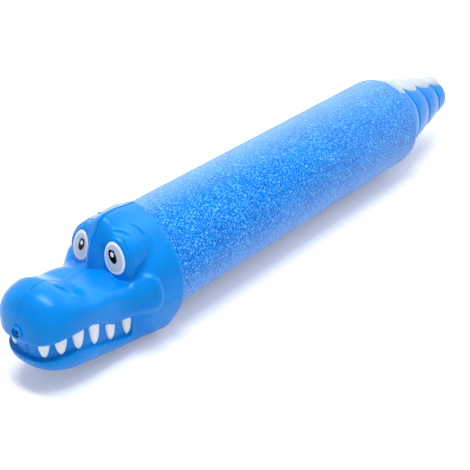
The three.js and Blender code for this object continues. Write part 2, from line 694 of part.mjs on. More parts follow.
// Barrel pieces
const foamSleeve = turned([
  [-FOAM_SHOWN, BARREL_RADIUS + GAP],
  [-FOAM_SHOWN, FOAM_RADIUS - FOAM_EDGE],
  [-FOAM_SHOWN + FOAM_EDGE, FOAM_RADIUS],
  [FOAM_TUCK, FOAM_RADIUS],
  [FOAM_TUCK, BARREL_RADIUS + GAP],
]);
const barrelTube = tube(-FOAM_SHOWN, BARREL_IN_HEAD, BARREL_RADIUS, BORE_RADIUS);
const plugLand = BORE_RADIUS - 2 * GAP;
const capSealAt = CAP_AT - CAP_PLUG / 2;
const spoutCap = turned([
  [CAP_AT - CAP_PLUG, SPOUT_BORE_RADIUS],
  [CAP_AT - CAP_PLUG, plugLand],
  ...sealGroove(capSealAt),
  [CAP_AT, plugLand],
  [CAP_AT, CAP_RADIUS],
  [CAP_FRONT, CAP_RADIUS],
  [CAP_FRONT, SPOUT_ROOT_RADIUS],
  [NOZZLE_FACE - SPOUT_RECESS, SPOUT_TIP_RADIUS],
  [NOZZLE_FACE - SPOUT_RECESS, SPOUT_BORE_RADIUS],
]);
const guideAt = -FOAM_SHOWN - GAP;
const rearGuide = turned([
  [guideAt - GUIDE_FLANGE, ROD_RADIUS + GAP],
  [guideAt - GUIDE_FLANGE, BARREL_RADIUS + GUIDE_RIM],
  [guideAt, BARREL_RADIUS + GUIDE_RIM],
  [guideAt, BORE_RADIUS - GAP],
  [GUIDE_PLUG - FOAM_SHOWN, BORE_RADIUS - GAP],
  [GUIDE_PLUG - FOAM_SHOWN, ROD_RADIUS + GAP],
]);

// Plunger pieces
const pistonFront = CAP_AT - CAP_PLUG - PISTON_REST_GAP;
const pistonRear = pistonFront - PISTON_LENGTH;
const pistonSealAt = pistonFront - PISTON_LENGTH / 2;
const spigotRadius = ROD_RADIUS - ROD_WALL - GAP;
const piston = turned([
  [pistonRear - PISTON_SPIGOT, 0],
  [pistonRear - PISTON_SPIGOT, spigotRadius],
  [pistonRear, spigotRadius],
  [pistonRear, plugLand],
  ...sealGroove(pistonSealAt),
  [pistonFront, plugLand],
  [pistonFront, 0],
]);
const rodFlangeFront = -FOAM_SHOWN - ROD_FLANGE_AT;
const plungerRod = turned([
  [rodFlangeFront - ROD_FLANGE, ROD_RADIUS - ROD_WALL],
  [rodFlangeFront - ROD_FLANGE, rodFlangeRadius],
  [rodFlangeFront, rodFlangeRadius],
  [rodFlangeFront, ROD_RADIUS],
  [pistonRear - GAP, ROD_RADIUS],
  [pistonRear - GAP, ROD_RADIUS - ROD_WALL],
]);

// Assembly
const head = new THREE.Group();
head.add(
  piece('head_shell_left', common(headShell, leftSide), BLUE),
  piece('head_shell_right', common(headShell, rightSide), BLUE),
  piece('eye_left', leftEye, EYE),
  piece('eye_right', mirrored(leftEye), EYE),
  piece('teeth_left', leftTeeth, WHITE),
  piece('teeth_right', mirrored(leftTeeth), WHITE),
  ...Object.entries(headScrews).map(([name, at]) => piece(`head_screw_${name}`, screw(at), STEEL)),
);

const barrel = new THREE.Group();
barrel.add(
  piece('foam_sleeve', foamSleeve, FOAM),
  piece('barrel_tube', barrelTube, PIPE),
  piece('spout_cap', spoutCap, BLUE),
  piece('cap_seal', sealRing(capSealAt), RUBBER),
  piece('rear_guide', rearGuide, BLUE),
);

const tail = new THREE.Group();
tail.position.x = -FOAM_SHOWN;
tail.add(
  piece('tail_shell_left', common(tailShell, leftSide), BLUE),
  piece('tail_shell_right', common(tailShell, rightSide), BLUE),
  piece('scute_strip', scuteStrip, WHITE),
  ...Object.entries(tailScrews).map(([name, at]) => piece(`tail_screw_${name}`, screw(at), STEEL)),
);

const plunger = new THREE.Group();
plunger.add(
  piece('plunger_rod', plungerRod, PIPE),
  piece('piston', piston, PIPE),
  piece('piston_seal', sealRing(pistonSealAt), RUBBER),
  tail,
);

// The origin lies under the middle of the whole length, on the ground the collar rests on
const squirter = new THREE.Group();
squirter.position.set((FOAM_SHOWN + TAIL_LENGTH - NOZZLE_FACE) / 2, 0, REST_DEPTH);
squirter.add(head, barrel, plunger);
const part = new THREE.Group();
part.add(squirter);

export default part;
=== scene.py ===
"""Looks of a foam water squirter with a crocodile's head and tail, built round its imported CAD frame."""

import bmesh
import bpy
import numpy as np
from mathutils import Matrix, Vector


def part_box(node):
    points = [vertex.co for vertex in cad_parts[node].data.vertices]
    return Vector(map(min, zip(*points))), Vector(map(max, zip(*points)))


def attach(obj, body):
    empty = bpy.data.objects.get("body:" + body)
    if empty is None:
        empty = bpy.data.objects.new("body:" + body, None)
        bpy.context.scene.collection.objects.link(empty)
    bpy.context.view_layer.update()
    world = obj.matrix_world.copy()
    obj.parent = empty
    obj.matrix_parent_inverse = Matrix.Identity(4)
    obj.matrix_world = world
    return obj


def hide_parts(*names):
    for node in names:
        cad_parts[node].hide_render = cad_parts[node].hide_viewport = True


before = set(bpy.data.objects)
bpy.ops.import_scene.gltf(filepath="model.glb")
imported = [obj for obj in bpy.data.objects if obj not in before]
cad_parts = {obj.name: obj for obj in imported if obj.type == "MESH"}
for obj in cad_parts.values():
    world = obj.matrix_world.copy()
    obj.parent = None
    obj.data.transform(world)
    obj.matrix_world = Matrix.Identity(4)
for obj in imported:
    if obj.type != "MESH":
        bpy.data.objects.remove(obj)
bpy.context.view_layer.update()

# Places from the frame, in millimetres
MM = 0.001
foam_low, foam_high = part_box("foam_sleeve")
COLLAR_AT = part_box("head_shell_left")[0].x / MM
FOAM_END = foam_low.x / MM
FOAM_FRONT = foam_high.x / MM - COLLAR_AT
FOAM_RADIUS = (foam_high.z - foam_low.z) / 2 / MM
AXIS_HEIGHT = (foam_low.z + foam_high.z) / 2 / MM
TAIL_LENGTH = FOAM_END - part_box("tail_shell_left")[0].x / MM
TAIL_START = FOAM_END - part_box("tail_shell_left")[1].x / MM
NOZZLE_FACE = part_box("head_shell_left")[1].x / MM - COLLAR_AT

# Head sizes in millimetres: u runs forward from the collar's rear edge, z up from the barrel's axis
SEAM = 0.06
SEAM_ROUND = 0.34
COLLAR_REAR = -2.3
COLLAR_RADIUS = 31.4
COLLAR_DROP = 1.6
COLLAR_EDGE = 1.8
SKULL_LENGTH = 34
SKULL_NECK = 6
# A pair holds the values at both ends of a change, or the places where it starts and ends
SKULL_TAPER = (2.2, 1.1)
TAPER_RISE = (-8, -2)
COLLAR_FRONT = 0.4
COLLAR_SLANT = 0.66
COLLAR_REACH = 15
COLLAR_DRAFT = 0.18
COLLAR_STEP = 1.3
COLLAR_STEP_WIDTH = 2
BROW_HEIGHT = 30.5
BROW_WIDTH = 22.2
BROW_FRONT = 25.6
BROW_ROUND = 13
BROW_TOP_POWER = 4
BROW_PLAN_POWER = 5
BROW_SIDE_POWER = 2.9
BROW_WAIST = 3.2
WAIST_RISE = (5, 19)
# Height and power of the hidden underside of brow and bridge
BROW_UNDERSIDE = (2, 2)
BRIDGE_HEIGHT = 33
BRIDGE_WIDTH = 8
BRIDGE_FRONT = 32.3
BRIDGE_ROUND = 19
BRIDGE_POWER = 2.4
BRIDGE_FILLET = 6
BRIDGE_REAR_DIP = 0.11
BRIDGE_REAR = 12
SNOUT_FRONT = 77.9
SNOUT_WIDTH = 21.1
DECK_SIDE_POWER = 2.35
NOSE_SIDE_POWER = 2.1
DECK_HEIGHT = 12
NOSE_START = 45
NOSE_TOP_AT = 62
NOSE_HEIGHT = 18.8
NOSE_ROUND = 22
NOSE_POWER = 2.7
WIDEST_HEIGHT = 2.5
DECK_REAR_POWER = 1.25
DECK_SPREAD = (24, 42)
CHEEK_REAR = 10.6
CHEEK_ROUND = 7
CHEEK_HALF = 8
CHEEK_LEVEL = -2
CHEEK_HEIGHT = (12.6, 8.5)
CHEEK_SINK = (14, 26)
CHEEK_BOTTOM = -10.8
CHEEK_ACROSS = (24.6, 10.6)
CHEEK_RUN = (8, 39)
CHEEK_FRONT = 46
CHEEK_POWER = 2.3
LIP_POWER = 6
MOUTH_PEAK_AT = 57
LIP_PEAK = -2.2
LIP_SAG_REAR = 0.0205
LIP_SAG_FRONT = 0.008
LIP_LOWEST = -10.2
LIP_HANG = 1.12
RIM_REAR = -20
RIM_FRONT = -11.3
RIM_RISE = (20, 67)
RIM_SAG = 0.0105
CORNER_FRONT = 25.8
CORNER_REAR = 24.2
BAND_RECESS = 2.3
BAND_REAR = 15
BAND_OVERLAP = 5
JAW_FRONT = 75
JAW_WIDTH = 20.8
JAW_ROUND = 28
JAW_PLAN_POWER = 2.8
JAW_SIDE_POWER = 2.4
JAW_WALL_HEIGHT = 1e3
JAW_REAR = 2
JAW_REAR_SPREAD = 1.5
JAW_REAR_FADE = 26
JAW_FILLET = 5
JAW_FILLET_RUN = (10, 22)
JAW_DEPTH_REAR = 33
JAW_DEPTH_FRONT = 24.5
CHIN_ROUND = 20
NOSTRIL = np.array([56.2, 10.3, 15])
NOSTRIL_ALONG = np.array([-0.41, 0.82, -0.4])
NOSTRIL_FACING = np.array([-0.28, 0.3, 0.91])
NOSTRIL_HALF = (4.8, 2.2, 1.5)

# How softly the head's forms run into each other
SKULL_FILLET = 1.6
CHEEK_FILLET = 3
BROW_FILLET = 0.9
MOUTH_FILLET = 0.8
NOSTRIL_FILLET = 0.6

# Millimetres that a whole share of each form's section stands for
BROW_SHARE = 20
BRIDGE_SHARE = 8
SNOUT_SHARE = 15
JAW_SHARE = 10

# Power of a superellipse that is a plain ellipse
ELLIPSE = 2

# Limits that keep the formulas from dividing by nothing
ROUND_END = 0.9995
LEAST_SIZE = 0.05
LEAST_AWAY = 0.01

# Eyes: their middle, their half sizes and the folds round them
EYE_MIDDLE = np.array([24.3, 10.8, 17.8])
EYE_TURN = np.radians(10)
EYE_LEAN = np.radians(8)
EYE_HALF_WIDTH = 5.6
EYE_HALF_HEIGHT = 8.1
EYE_TILT = 0.22
EYE_PAD = (1.03, 1.3)
EYE_PAD_DEPTH = 7
LID_FIRST = 1.34
LID_PITCH = 0.24
LID_DEPTH = 0.22
LID_START = (1.12, 1.3)
LID_END = (1.9, 2.3)
LID_SIDES = (0.45, 0.75)
LID_NEAR = (1.5, 4)
LID_MARGIN = 2
# Each wrinkle's first end, middle and last end, as places [u, y] seen from above
FOLD_PLACES = (
    ((20.4, 8.3), (18.4, 11), (17.2, 14.6)),
    ((11.6, 9.7), (9.9, 13.1), (10.1, 16.3)),
)
FOLD_CEILING = 40
FOLD_DEPTH = 0.6
FOLD_HALF = 0.65
FOLD_LIP = 1.2
FOLD_LIP_SHARE = 0.35
FOLD_FADE = (0.6, 1.3)


def mix(a, b, t):
    """A share t of the way from a to b."""
    return a + (b - a) * t


def smooth(x, low, high):
    """0 below low and 1 above high, with an even curve between."""
    t = np.clip((x - low) / (high - low), 0, 1)
    return t * t * (3 - 2 * t)


def round_off(t, power):
    """A quarter of a superellipse: 1 at t = 0, falling to almost 0 at t = 1."""
    return (1 - np.clip(t, 0, ROUND_END) ** power) ** (1 / power)


def least(a, b, width):
    """The lesser of two fields, rounded over a width, so that forms join with a fillet."""
    h = np.clip(0.5 + 0.5 * (b - a) / width, 0, 1)
    return mix(b, a, h) - width * h * (1 - h)


def greatest(a, b, width):
    """The greater of two fields, rounded over a width, so that cuts have soft edges."""
    return -least(-a, -b, width)


def oval(y, z, half, middle, upper, lower):
    """Superellipse share less 1: its upper and lower halves each have a height and a power."""
    above = z > middle
    height = np.where(above, upper[0], lower[0])
    power = np.where(above, upper[1], lower[1])
    across = np.abs(y) / np.maximum(half, LEAST_SIZE)
    along = np.abs(z - middle) / np.maximum(height, LEAST_SIZE)
    return (across ** power + along ** power) ** (1 / power) - 1


def left_spots(u, y, z):
    """Points as one array, with those on the right mirrored to the left."""
    return np.stack(np.broadcast_arrays(u, np.abs(y), z), -1)


def lip_at(u):
    """Height of the upper lip: two parabolas from its peak, level at the lowest."""
    sag = np.where(u < MOUTH_PEAK_AT, LIP_SAG_REAR, LIP_SAG_FRONT)
    return np.maximum(LIP_PEAK - sag * (u - MOUTH_PEAK_AT) ** 2, LIP_LOWEST)


def rim_line(u):
    """Height of the lower jaw's rim: an even curve up towards the front, less a parabola at the chin."""
    rise = mix(RIM_REAR, RIM_FRONT, smooth(u, *RIM_RISE))
    return rise - RIM_SAG * np.maximum(u - MOUTH_PEAK_AT, 0) ** 2


def rim_at(u):
    """The rim as it ends: it turns up to meet the lip at the mouth's corner."""
    return mix(lip_at(u), rim_line(u), smooth(u, CORNER_REAR, CORNER_FRONT))


def band_half(u, recess):
    """Half width of the mouth: parallel sides that close in a round front, set back by a recess."""
    t = (u - JAW_FRONT + recess + JAW_ROUND) / JAW_ROUND
    return (JAW_WIDTH - recess) * round_off(t, JAW_PLAN_POWER)


def skull_field(u, y, z):
    """Distance from the axis less a radius: a collar, a step at its slanted edge and a tapered skull."""
    along = u - COLLAR_REAR
    edge = COLLAR_EDGE * (1 - round_off((COLLAR_EDGE - along) / COLLAR_EDGE, ELLIPSE))
    front = np.minimum(COLLAR_FRONT + COLLAR_SLANT * (COLLAR_RADIUS - z), COLLAR_REACH)
    high = smooth(z, *TAPER_RISE)
    taper = np.clip((u - front) / (SKULL_LENGTH - front), 0, 1) ** mix(*SKULL_TAPER, high)
    radius = mix(COLLAR_RADIUS - COLLAR_DRAFT * along, SKULL_NECK, taper)
    step = COLLAR_STEP * smooth(u - front, 0, COLLAR_STEP_WIDTH) * high
    round_wall = np.hypot(y, z + COLLAR_DROP) - radius + edge + step
    return np.maximum(round_wall, u - SKULL_LENGTH)


def brow_field(u, y, z):
    """A broad dome and a narrow bridge between the eyes: superellipses that close towards the front."""
    share = (u - BROW_FRONT + BROW_ROUND) / BROW_ROUND
    top = BROW_HEIGHT * round_off(share, BROW_TOP_POWER)
    half = BROW_WIDTH * round_off(share, BROW_PLAN_POWER) - BROW_WAIST * (1 - smooth(z, *WAIST_RISE))
    dome = BROW_SHARE * oval(y, z, half, 0, (top, BROW_SIDE_POWER), BROW_UNDERSIDE)
    share = (u - BRIDGE_FRONT + BRIDGE_ROUND) / BRIDGE_ROUND
    top = BRIDGE_HEIGHT * round_off(share, BRIDGE_POWER)
    top = top * (1 - BRIDGE_REAR_DIP * (1 - smooth(u, COLLAR_REAR, BRIDGE_REAR)))
    half = BRIDGE_WIDTH * round_off(share, ELLIPSE)
    bridge = BRIDGE_SHARE * oval(y, z, half, 0, (top, ELLIPSE), BROW_UNDERSIDE)
    return least(np.maximum(dome, u - BROW_FRONT), np.maximum(bridge, u - BRIDGE_FRONT), BRIDGE_FILLET)


def snout_field(u, y, z):
    """Superellipses along the snout: a deck that swells into the nose and closes round the nozzle."""
    nose = smooth(u, NOSE_START, NOSE_TOP_AT)
    closing = round_off((u - SNOUT_FRONT + NOSE_ROUND) / NOSE_ROUND, NOSE_POWER)
    opening = round_off((CHEEK_REAR + CHEEK_ROUND - u) / CHEEK_ROUND, NOSE_POWER)
    half = SNOUT_WIDTH * closing
    upper = (mix(DECK_HEIGHT, NOSE_HEIGHT, nose) - WIDEST_HEIGHT) * closing * opening
    lower = (WIDEST_HEIGHT - lip_at(u)) * LIP_HANG * np.sqrt(closing) * opening
    deck_power = mix(DECK_REAR_POWER, DECK_SIDE_POWER, smooth(u, *DECK_SPREAD))
    power = mix(deck_power, NOSE_SIDE_POWER, nose)
    section = oval(y, z, half, WIDEST_HEIGHT * closing, (upper, power), (lower, LIP_POWER))
    return np.maximum(np.maximum(SNOUT_SHARE * section, u - SNOUT_FRONT), CHEEK_REAR - u)


def cheek_field(u, y, z):
    """Superellipse tubes that leave the snout, run outwards to the rear and end in a round cap."""
    opening = round_off((CHEEK_REAR + CHEEK_ROUND - u) / CHEEK_ROUND, NOSE_POWER)
    across = mix(*CHEEK_ACROSS, smooth(u, *CHEEK_RUN))
    upper = mix(*CHEEK_HEIGHT, smooth(u, *CHEEK_SINK)) * opening
    lower = (CHEEK_LEVEL - np.maximum(CHEEK_BOTTOM, lip_at(u))) * opening
    section = oval(
        np.abs(y) - across, z, CHEEK_HALF * opening, CHEEK_LEVEL,
        (upper, CHEEK_POWER), (lower, CHEEK_POWER))
    return np.maximum(np.maximum(CHEEK_HALF * section, u - CHEEK_FRONT), CHEEK_REAR - u)


def jaw_field(u, y, z):
    """A superellipse hull below the rim: its depth falls forward to a round chin, and the rim cuts it."""
    rim = rim_line(u)
    keel = mix(JAW_DEPTH_REAR, JAW_DEPTH_FRONT, u / JAW_FRONT)
    chin = round_off((u - JAW_FRONT + CHIN_ROUND) / CHIN_ROUND, JAW_SIDE_POWER)
    half = band_half(u, 0) + JAW_REAR_SPREAD * (1 - smooth(u, JAW_REAR, JAW_REAR_FADE))
    hull = JAW_SHARE * oval(
        y, z, half, rim, (JAW_WALL_HEIGHT, JAW_SIDE_POWER), ((keel + rim) * chin, JAW_SIDE_POWER))
    ends = np.maximum(u - JAW_FRONT, JAW_REAR - u)
    return greatest(np.maximum(hull, ends), z - rim_at(u), MOUTH_FILLET)


def band_field(u, y, z):
    """Upright walls along the mouth's outline, set back from the lips, that join snout and jaw."""
    walls = np.abs(y) - band_half(u, BAND_RECESS)
    ends = np.maximum(u - JAW_FRONT + BAND_RECESS, BAND_REAR - u)
    levels = np.maximum(z - lip_at(u), rim_at(u) - z) - BAND_OVERLAP
    return np.maximum(np.maximum(walls, ends), levels)


def nostril_field(u, y, z):
    """A slanted ellipsoid behind the nose on each side: the length of a point's shares, less 1."""
    offset = left_spots(u, y, z) - NOSTRIL
    ways = (NOSTRIL_ALONG, np.cross(NOSTRIL_FACING, NOSTRIL_ALONG), NOSTRIL_FACING)
    shares = [(offset @ way) / half for way, half in zip(ways, NOSTRIL_HALF)]
    return NOSTRIL_HALF[2] * (np.linalg.norm(shares, axis=0) - 1)


def plain_head(u, y, z):
    """The head's forms joined with fillets, without the small carving."""
    upper = least(skull_field(u, y, z), brow_field(u, y, z), SKULL_FILLET)
    snout = least(snout_field(u, y, z), cheek_field(u, y, z), CHEEK_FILLET)
    upper = least(upper, snout, BROW_FILLET)
    lower = least(jaw_field(u, y, z), band_field(u, y, z), MOUTH_FILLET)
    return least(upper, lower, mix(JAW_FILLET, MOUTH_FILLET, smooth(u, *JAW_FILLET_RUN)))


EYE_FACING = np.array([
    np.cos(EYE_TURN) * np.cos(EYE_LEAN), np.sin(EYE_TURN) * np.cos(EYE_LEAN), np.sin(EYE_LEAN)])
EYE_LEVEL = np.array([-np.sin(EYE_TURN), np.cos(EYE_TURN), 0])
EYE_UPRIGHT = np.cross(EYE_FACING, EYE_LEVEL)


def eye_place(u, y, z):
    """A point's place on the eye's face: its share of the oval's half width and half height."""
    offset = left_spots(u, y, z) - EYE_MIDDLE
    a, b = offset @ EYE_LEVEL, offset @ EYE_UPRIGHT
    cos, sin = np.cos(EYE_TILT), np.sin(EYE_TILT)
    return (a * cos + b * sin) / EYE_HALF_WIDTH, (b * cos - a * sin) / EYE_HALF_HEIGHT


def eye_depth(u, y, z):
    """A point's distance in front of the eye's flat face."""
    return (left_spots(u, y, z) - EYE_MIDDLE) @ EYE_FACING


def padded_head(u, y, z):
    """The plain head with a flat pad under each eye that runs softly into the brow round it."""
    field = plain_head(u, y, z)
    depth = eye_depth(u, y, z)
    away = np.hypot(*eye_place(u, y, z)) + 0 * field
    share = np.where(np.abs(depth) < EYE_PAD_DEPTH, smooth(away, *EYE_PAD), 1)
    return mix(depth, field, share)


def lid_folds(u, y, z):
    """Rings of folds beside the eye: a cosine of the distance from it, fading above and below."""
    a, b = eye_place(u, y, z)
    away = np.hypot(a, b)
    rings = np.cos(2 * np.pi * (away - LID_FIRST) / LID_PITCH)
    reach = smooth(away, *LID_START) * (1 - smooth(away, *LID_END))
    reach = reach * (1 - smooth(np.abs(eye_depth(u, y, z)), *LID_NEAR)) * (u < BROW_FRONT + LID_MARGIN)
    return LID_DEPTH * rings * reach * smooth(np.abs(a) / np.maximum(away, LEAST_AWAY), *LID_SIDES)


def cast(field, start, way, reach, steps=80, halvings=14):
    """Furthest place on each ray inside a field: even steps back from the reach, then halved steps."""
    step = reach / steps
    low = np.zeros(start.shape[:-1])
    found = np.zeros(start.shape[:-1], bool)
    for distance in np.arange(steps, 0, -1) * step:
        inside = field(*np.moveaxis(start + distance * way, -1, 0)) < 0
        low = np.where(inside & ~found, distance, low)
        found = found | inside
    high = low + step
    for _ in range(halvings):
        middle = (low + high) / 2
        inside = field(*np.moveaxis(start + middle[..., None] * way, -1, 0)) < 0
        low, high = np.where(inside, middle, low), np.where(inside, high, middle)
    return start + low[..., None] * way


def fold_circle(places):
    """Middle, axis, radius, midpoint and reach of the round arc over three places [u, y] on the brow."""
    below = np.insert(np.array(places, float), 2, 0, axis=1)
    first, middle, last = cast(padded_head, below, np.array([0, 0, 1]), FOLD_CEILING)
    a, b = first - last, middle - last
    axis = np.cross(a, b)
    centre = last + np.cross((a @ a) * b - (b @ b) * a, axis) / (2 * axis @ axis)
    radius = np.linalg.norm(first - centre)
    return centre, axis / np.linalg.norm(axis), radius, middle, np.linalg.norm(a) / 2


FOLDS = [fold_circle(places) for places in FOLD_PLACES]


def brow_folds(u, y, z):
    """Two wrinkles over each eye: a bell-shaped groove along an arc and a raised lip above it, faded out."""
    spots = left_spots(u, y, z)
    total = 0
    for centre, axis, radius, middle, reach in FOLDS:
        offset = spots - centre
        height = offset @ axis
        outward = np.sqrt(np.maximum((offset ** 2).sum(-1) - height ** 2, 0)) - radius
        groove = np.exp(-(outward ** 2 + height ** 2) / FOLD_HALF ** 2)
        lip = np.exp(-((outward - FOLD_LIP) ** 2 + height ** 2) / FOLD_LIP ** 2)
        near, far = np.array(FOLD_FADE) * reach
        window = 1 - smooth(np.linalg.norm(spots - middle, axis=-1), near, far)
        total = total + FOLD_DEPTH * window * (groove - FOLD_LIP_SHARE * lip)
    return total


def head_field(u, y, z):
    """The whole head: its forms with nostrils, folds, a rounded seam and the flat it rests on."""
    field = greatest(padded_head(u, y, z), -nostril_field(u, y, z), NOSTRIL_FILLET)
    field = field + lid_folds(u, y, z) + brow_folds(u, y, z)
    field = field + SEAM_ROUND * np.exp(-(y / SEAM_ROUND) ** 2)
    return np.maximum(field, -AXIS_HEIGHT - z)


# Colours and nodes
def linear(code):
    """An sRGB hex colour as linear red, green, blue and alpha."""
    srgb = np.array([int(code[i:i + 2], 16) for i in (1, 3, 5)]) / 255
    values = np.where(srgb <= 0.04045, srgb / 12.92, ((srgb + 0.055) / 1.055) ** 2.4)
    return (*values.tolist(), 1.0)


def node(tree, kind, links=None, stops=(), **settings):
    """Adds a node: settings are its properties or inputs' values, links join its inputs to outputs.

    Stops are a colour ramp's pairs of place and sRGB hex colour, in rising order."""
    made = tree.nodes.new(kind)
    for key, value in settings.items():
        if hasattr(made, key):
            setattr(made, key, value)
        else:
            made.inputs[key.replace("_", " ")].default_value = value
    for i, (place, code) in enumerate(stops):
        elements = made.color_ramp.elements
        element = elements[i] if i < len(elements) else elements.new(place)
        element.position = place
        element.color = linear(code)
    for name, output in (links or {}).items():
        tree.links.new(output, made.inputs[name])
    return made


def start_material(name):
    """An empty node material, its tree, and Object coordinates for its patterns."""
    made = bpy.data.materials.new(name)
    made.use_nodes = True
    made.node_tree.nodes.clear()
    place = node(made.node_tree, "ShaderNodeTexCoord").outputs["Object"]
    return made, made.node_tree, place


# Patterns of the finishes in millimetres: the mould's grain is drawn coarser than it is, so that it shows
MOTTLE_MM = 14
GRAIN_MM = 0.9
RUBBER_GRAIN_MM = 0.5
MOULD_BUMP_MM = 0.012
ROUGHNESS_SPREAD = 0.04
CELL_MM = 0.95
CELL_BUMP_MM = 0.9
PIT_MM = 1.7
PIT_BUMP_MM = 0.6
PATCH_MM = 11
PLATING_MM = 0.8


def moulded_plastic(name, dark, light, roughness, gloss=0.3, sheen="#ffffff", grain_mm=GRAIN_MM):
    """Injection-moulded plastic: nearly even colour, soft gloss and a faint grain from the mould."""
    made, tree, place = start_material(name)
    mottle = node(tree, "ShaderNodeTexNoise", {"Vector": place}, Scale=1 / (MOTTLE_MM * MM), Detail=3.0)
    grain = node(tree, "ShaderNodeTexNoise", {"Vector": place}, Scale=1 / (grain_mm * MM), Detail=2.0)
    colour = node(
        tree, "ShaderNodeValToRGB", {"Fac": mottle.outputs[0]}, stops=[(0.3, dark), (0.7, light)])
    rough = node(
        tree, "ShaderNodeMapRange", {"Value": grain.outputs[0]},
        To_Min=roughness - ROUGHNESS_SPREAD, To_Max=roughness + ROUGHNESS_SPREAD,
    )
    bump = node(
        tree, "ShaderNodeBump", {"Height": grain.outputs[0]},
        Strength=0.35, Distance=MOULD_BUMP_MM * MM,
    )
    shader = node(
        tree, "ShaderNodeBsdfPrincipled",
        {"Base Color": colour.outputs[0], "Roughness": rough.outputs[0], "Normal": bump.outputs[0]},
        IOR=1.5, Specular_IOR_Level=gloss, Specular_Tint=linear(sheen),
    )
    node(tree, "ShaderNodeOutputMaterial", {"Surface": shader.outputs[0]})
    return made


def closed_cell_foam(name):
    """Extruded polyethylene foam: a matt skin of burst cells, bright on their rims and deep blue between."""
    made, tree, place = start_material(name)
    cells = node(
        tree, "ShaderNodeTexNoise", {"Vector": place},
        Scale=1 / (CELL_MM * MM), Detail=2.0, Roughness=0.7,
    )
    pits = node(tree, "ShaderNodeTexVoronoi", {"Vector": place}, Scale=1 / (PIT_MM * MM), Randomness=1.0)
    patches = node(tree, "ShaderNodeTexNoise", {"Vector": place}, Scale=1 / (PATCH_MM * MM), Detail=3.0)
    speckle = node(
        tree, "ShaderNodeValToRGB", {"Fac": cells.outputs[0]},
        stops=[(0.36, "#005cd0"), (0.47, "#0086ee"), (0.56, "#149cfa"), (0.67, "#8ed2ff")],
    )
    shade = node(
        tree, "ShaderNodeValToRGB", {"Fac": patches.outputs[0]},
        stops=[(0.35, "#e2ebf5"), (0.65, "#ffffff")],
    )
    colour = node(
        tree, "ShaderNodeMix", {6: speckle.outputs[0], 7: shade.outputs[0]},
        data_type="RGBA", blend_type="MULTIPLY",
    )
    colour.inputs[0].default_value = 1.0
    cell_bump = node(
        tree, "ShaderNodeBump", {"Height": cells.outputs[0]},
        Strength=0.9, Distance=CELL_BUMP_MM * MM,
    )
    pit_bump = node(
        tree, "ShaderNodeBump", {"Height": pits.outputs["Distance"], "Normal": cell_bump.outputs[0]},
        Strength=0.6, Distance=PIT_BUMP_MM * MM,
    )
    skin = node(
        tree, "ShaderNodeBsdfPrincipled", {"Base Color": colour.outputs[2], "Normal": pit_bump.outputs[0]},
        IOR=1.45, Roughness=0.7, Specular_IOR_Level=0.15,
    )
    # Seen at a slant, the torn cell walls stand up from the skin and give it a pale sheen
    slant = node(tree, "ShaderNodeLayerWeight", Blend=0.5)
    share = node(
        tree, "ShaderNodeMapRange", {"Value": slant.outputs["Facing"]},
        From_Min=0.34, From_Max=0.78, To_Max=0.24,
    )
    walls = node(tree, "ShaderNodeBsdfDiffuse", Color=linear("#e2f0ff"))
    sheen = node(
        tree, "ShaderNodeMixShader", {0: share.outputs[0], 1: skin.outputs[0], 2: walls.outputs[0]})
    node(tree, "ShaderNodeOutputMaterial", {"Surface": sheen.outputs[0]})
    return made


def plated_steel(name):
    """Zinc-plated screw steel: bright, with a mottled plating."""
    made, tree, place = start_material(name)
    plating = node(
        tree, "ShaderNodeTexNoise", {"Vector": place}, Scale=1 / (PLATING_MM * MM), Detail=3.0)
    colour = node(
        tree, "ShaderNodeValToRGB", {"Fac": plating.outputs[0]},
        stops=[(0.3, "#9ea3a8"), (0.7, "#c9cdd2")],
    )
    gloss = node(tree, "ShaderNodeMapRange", {"Value": plating.outputs[0]}, To_Min=0.25, To_Max=0.45)
    shader = node(
        tree, "ShaderNodeBsdfPrincipled",
        {"Base Color": colour.outputs[0], "Roughness": gloss.outputs[0]}, Metallic=1.0,
    )
    node(tree, "ShaderNodeOutputMaterial", {"Surface": shader.outputs[0]})
    return made


# Moulded ABS of the head and tail: an even blue, its gloss tinted by the pigment
BLUE = moulded_plastic("moulded_blue_abs", "#007fda", "#0089e4", 0.26, gloss=0.26, sheen="#a9d4ff")
# Moulded ABS of the teeth: a cool, clean white
WHITE = moulded_plastic("moulded_white_abs", "#e0e5ee", "#eaeef5", 0.3)
# Moulded soft PVC of the scutes: milky, a little grey
MILKY = moulded_plastic("moulded_milky_pvc", "#b2bfca", "#bdc9d3", 0.3)
# Prints on the eye plates: flat inks with a satin varnish, and a painted reflection on the pupil
EYE_WHITE = moulded_plastic("eye_border_print", "#eef2f8", "#f8fafd", 0.35)
EYE_GREY = moulded_plastic("eye_grey_print", "#c2cbd6", "#ccd4de", 0.35)
# Dark blue patch on the pupil: a painted reflection, not an ink
PUPIL_SHEEN_PAINT = moulded_plastic("pupil_painted_sheen", "#1d527e", "#235b8a", 0.3, gloss=0.1)
PUPIL = moulded_plastic("pupil_black_print", "#050507", "#0b0b0e", 0.22, gloss=0.06)
# Extruded polypropylene of the barrel and rod: a satin, greyish white
PIPE = moulded_plastic("extruded_polypropylene", "#dfe6ea", "#e9eef1", 0.38)
# Moulded nitrile rubber of the seals: matt black
RUBBER = moulded_plastic("nitrile_rubber", "#161617", "#1e1e20", 0.7, grain_mm=RUBBER_GRAIN_MM)
STEEL = plated_steel("zinc_plated_steel")
FOAM = closed_cell_foam("closed_cell_foam")


# Meshes
MERGE_WITHIN = 1e-6
DISSOLVE_WITHIN = 1e-7
SHARP_ANGLE = 0.7
CORNER_SHARE = 2.2
TURN_STEPS = 96


def world_place(points, origin, facing=1):
    """Points in millimetres from an origin on the barrel's axis, as metres in the frame."""
    placed = np.array(points, float)
    placed[..., 0] = origin + facing * placed[..., 0]
    placed[..., 2] += AXIS_HEIGHT
    return placed.reshape(-1, 3) * MM


def head_place(points):
    """Points measured forward from the collar's rear edge."""
    return world_place(points, COLLAR_AT)


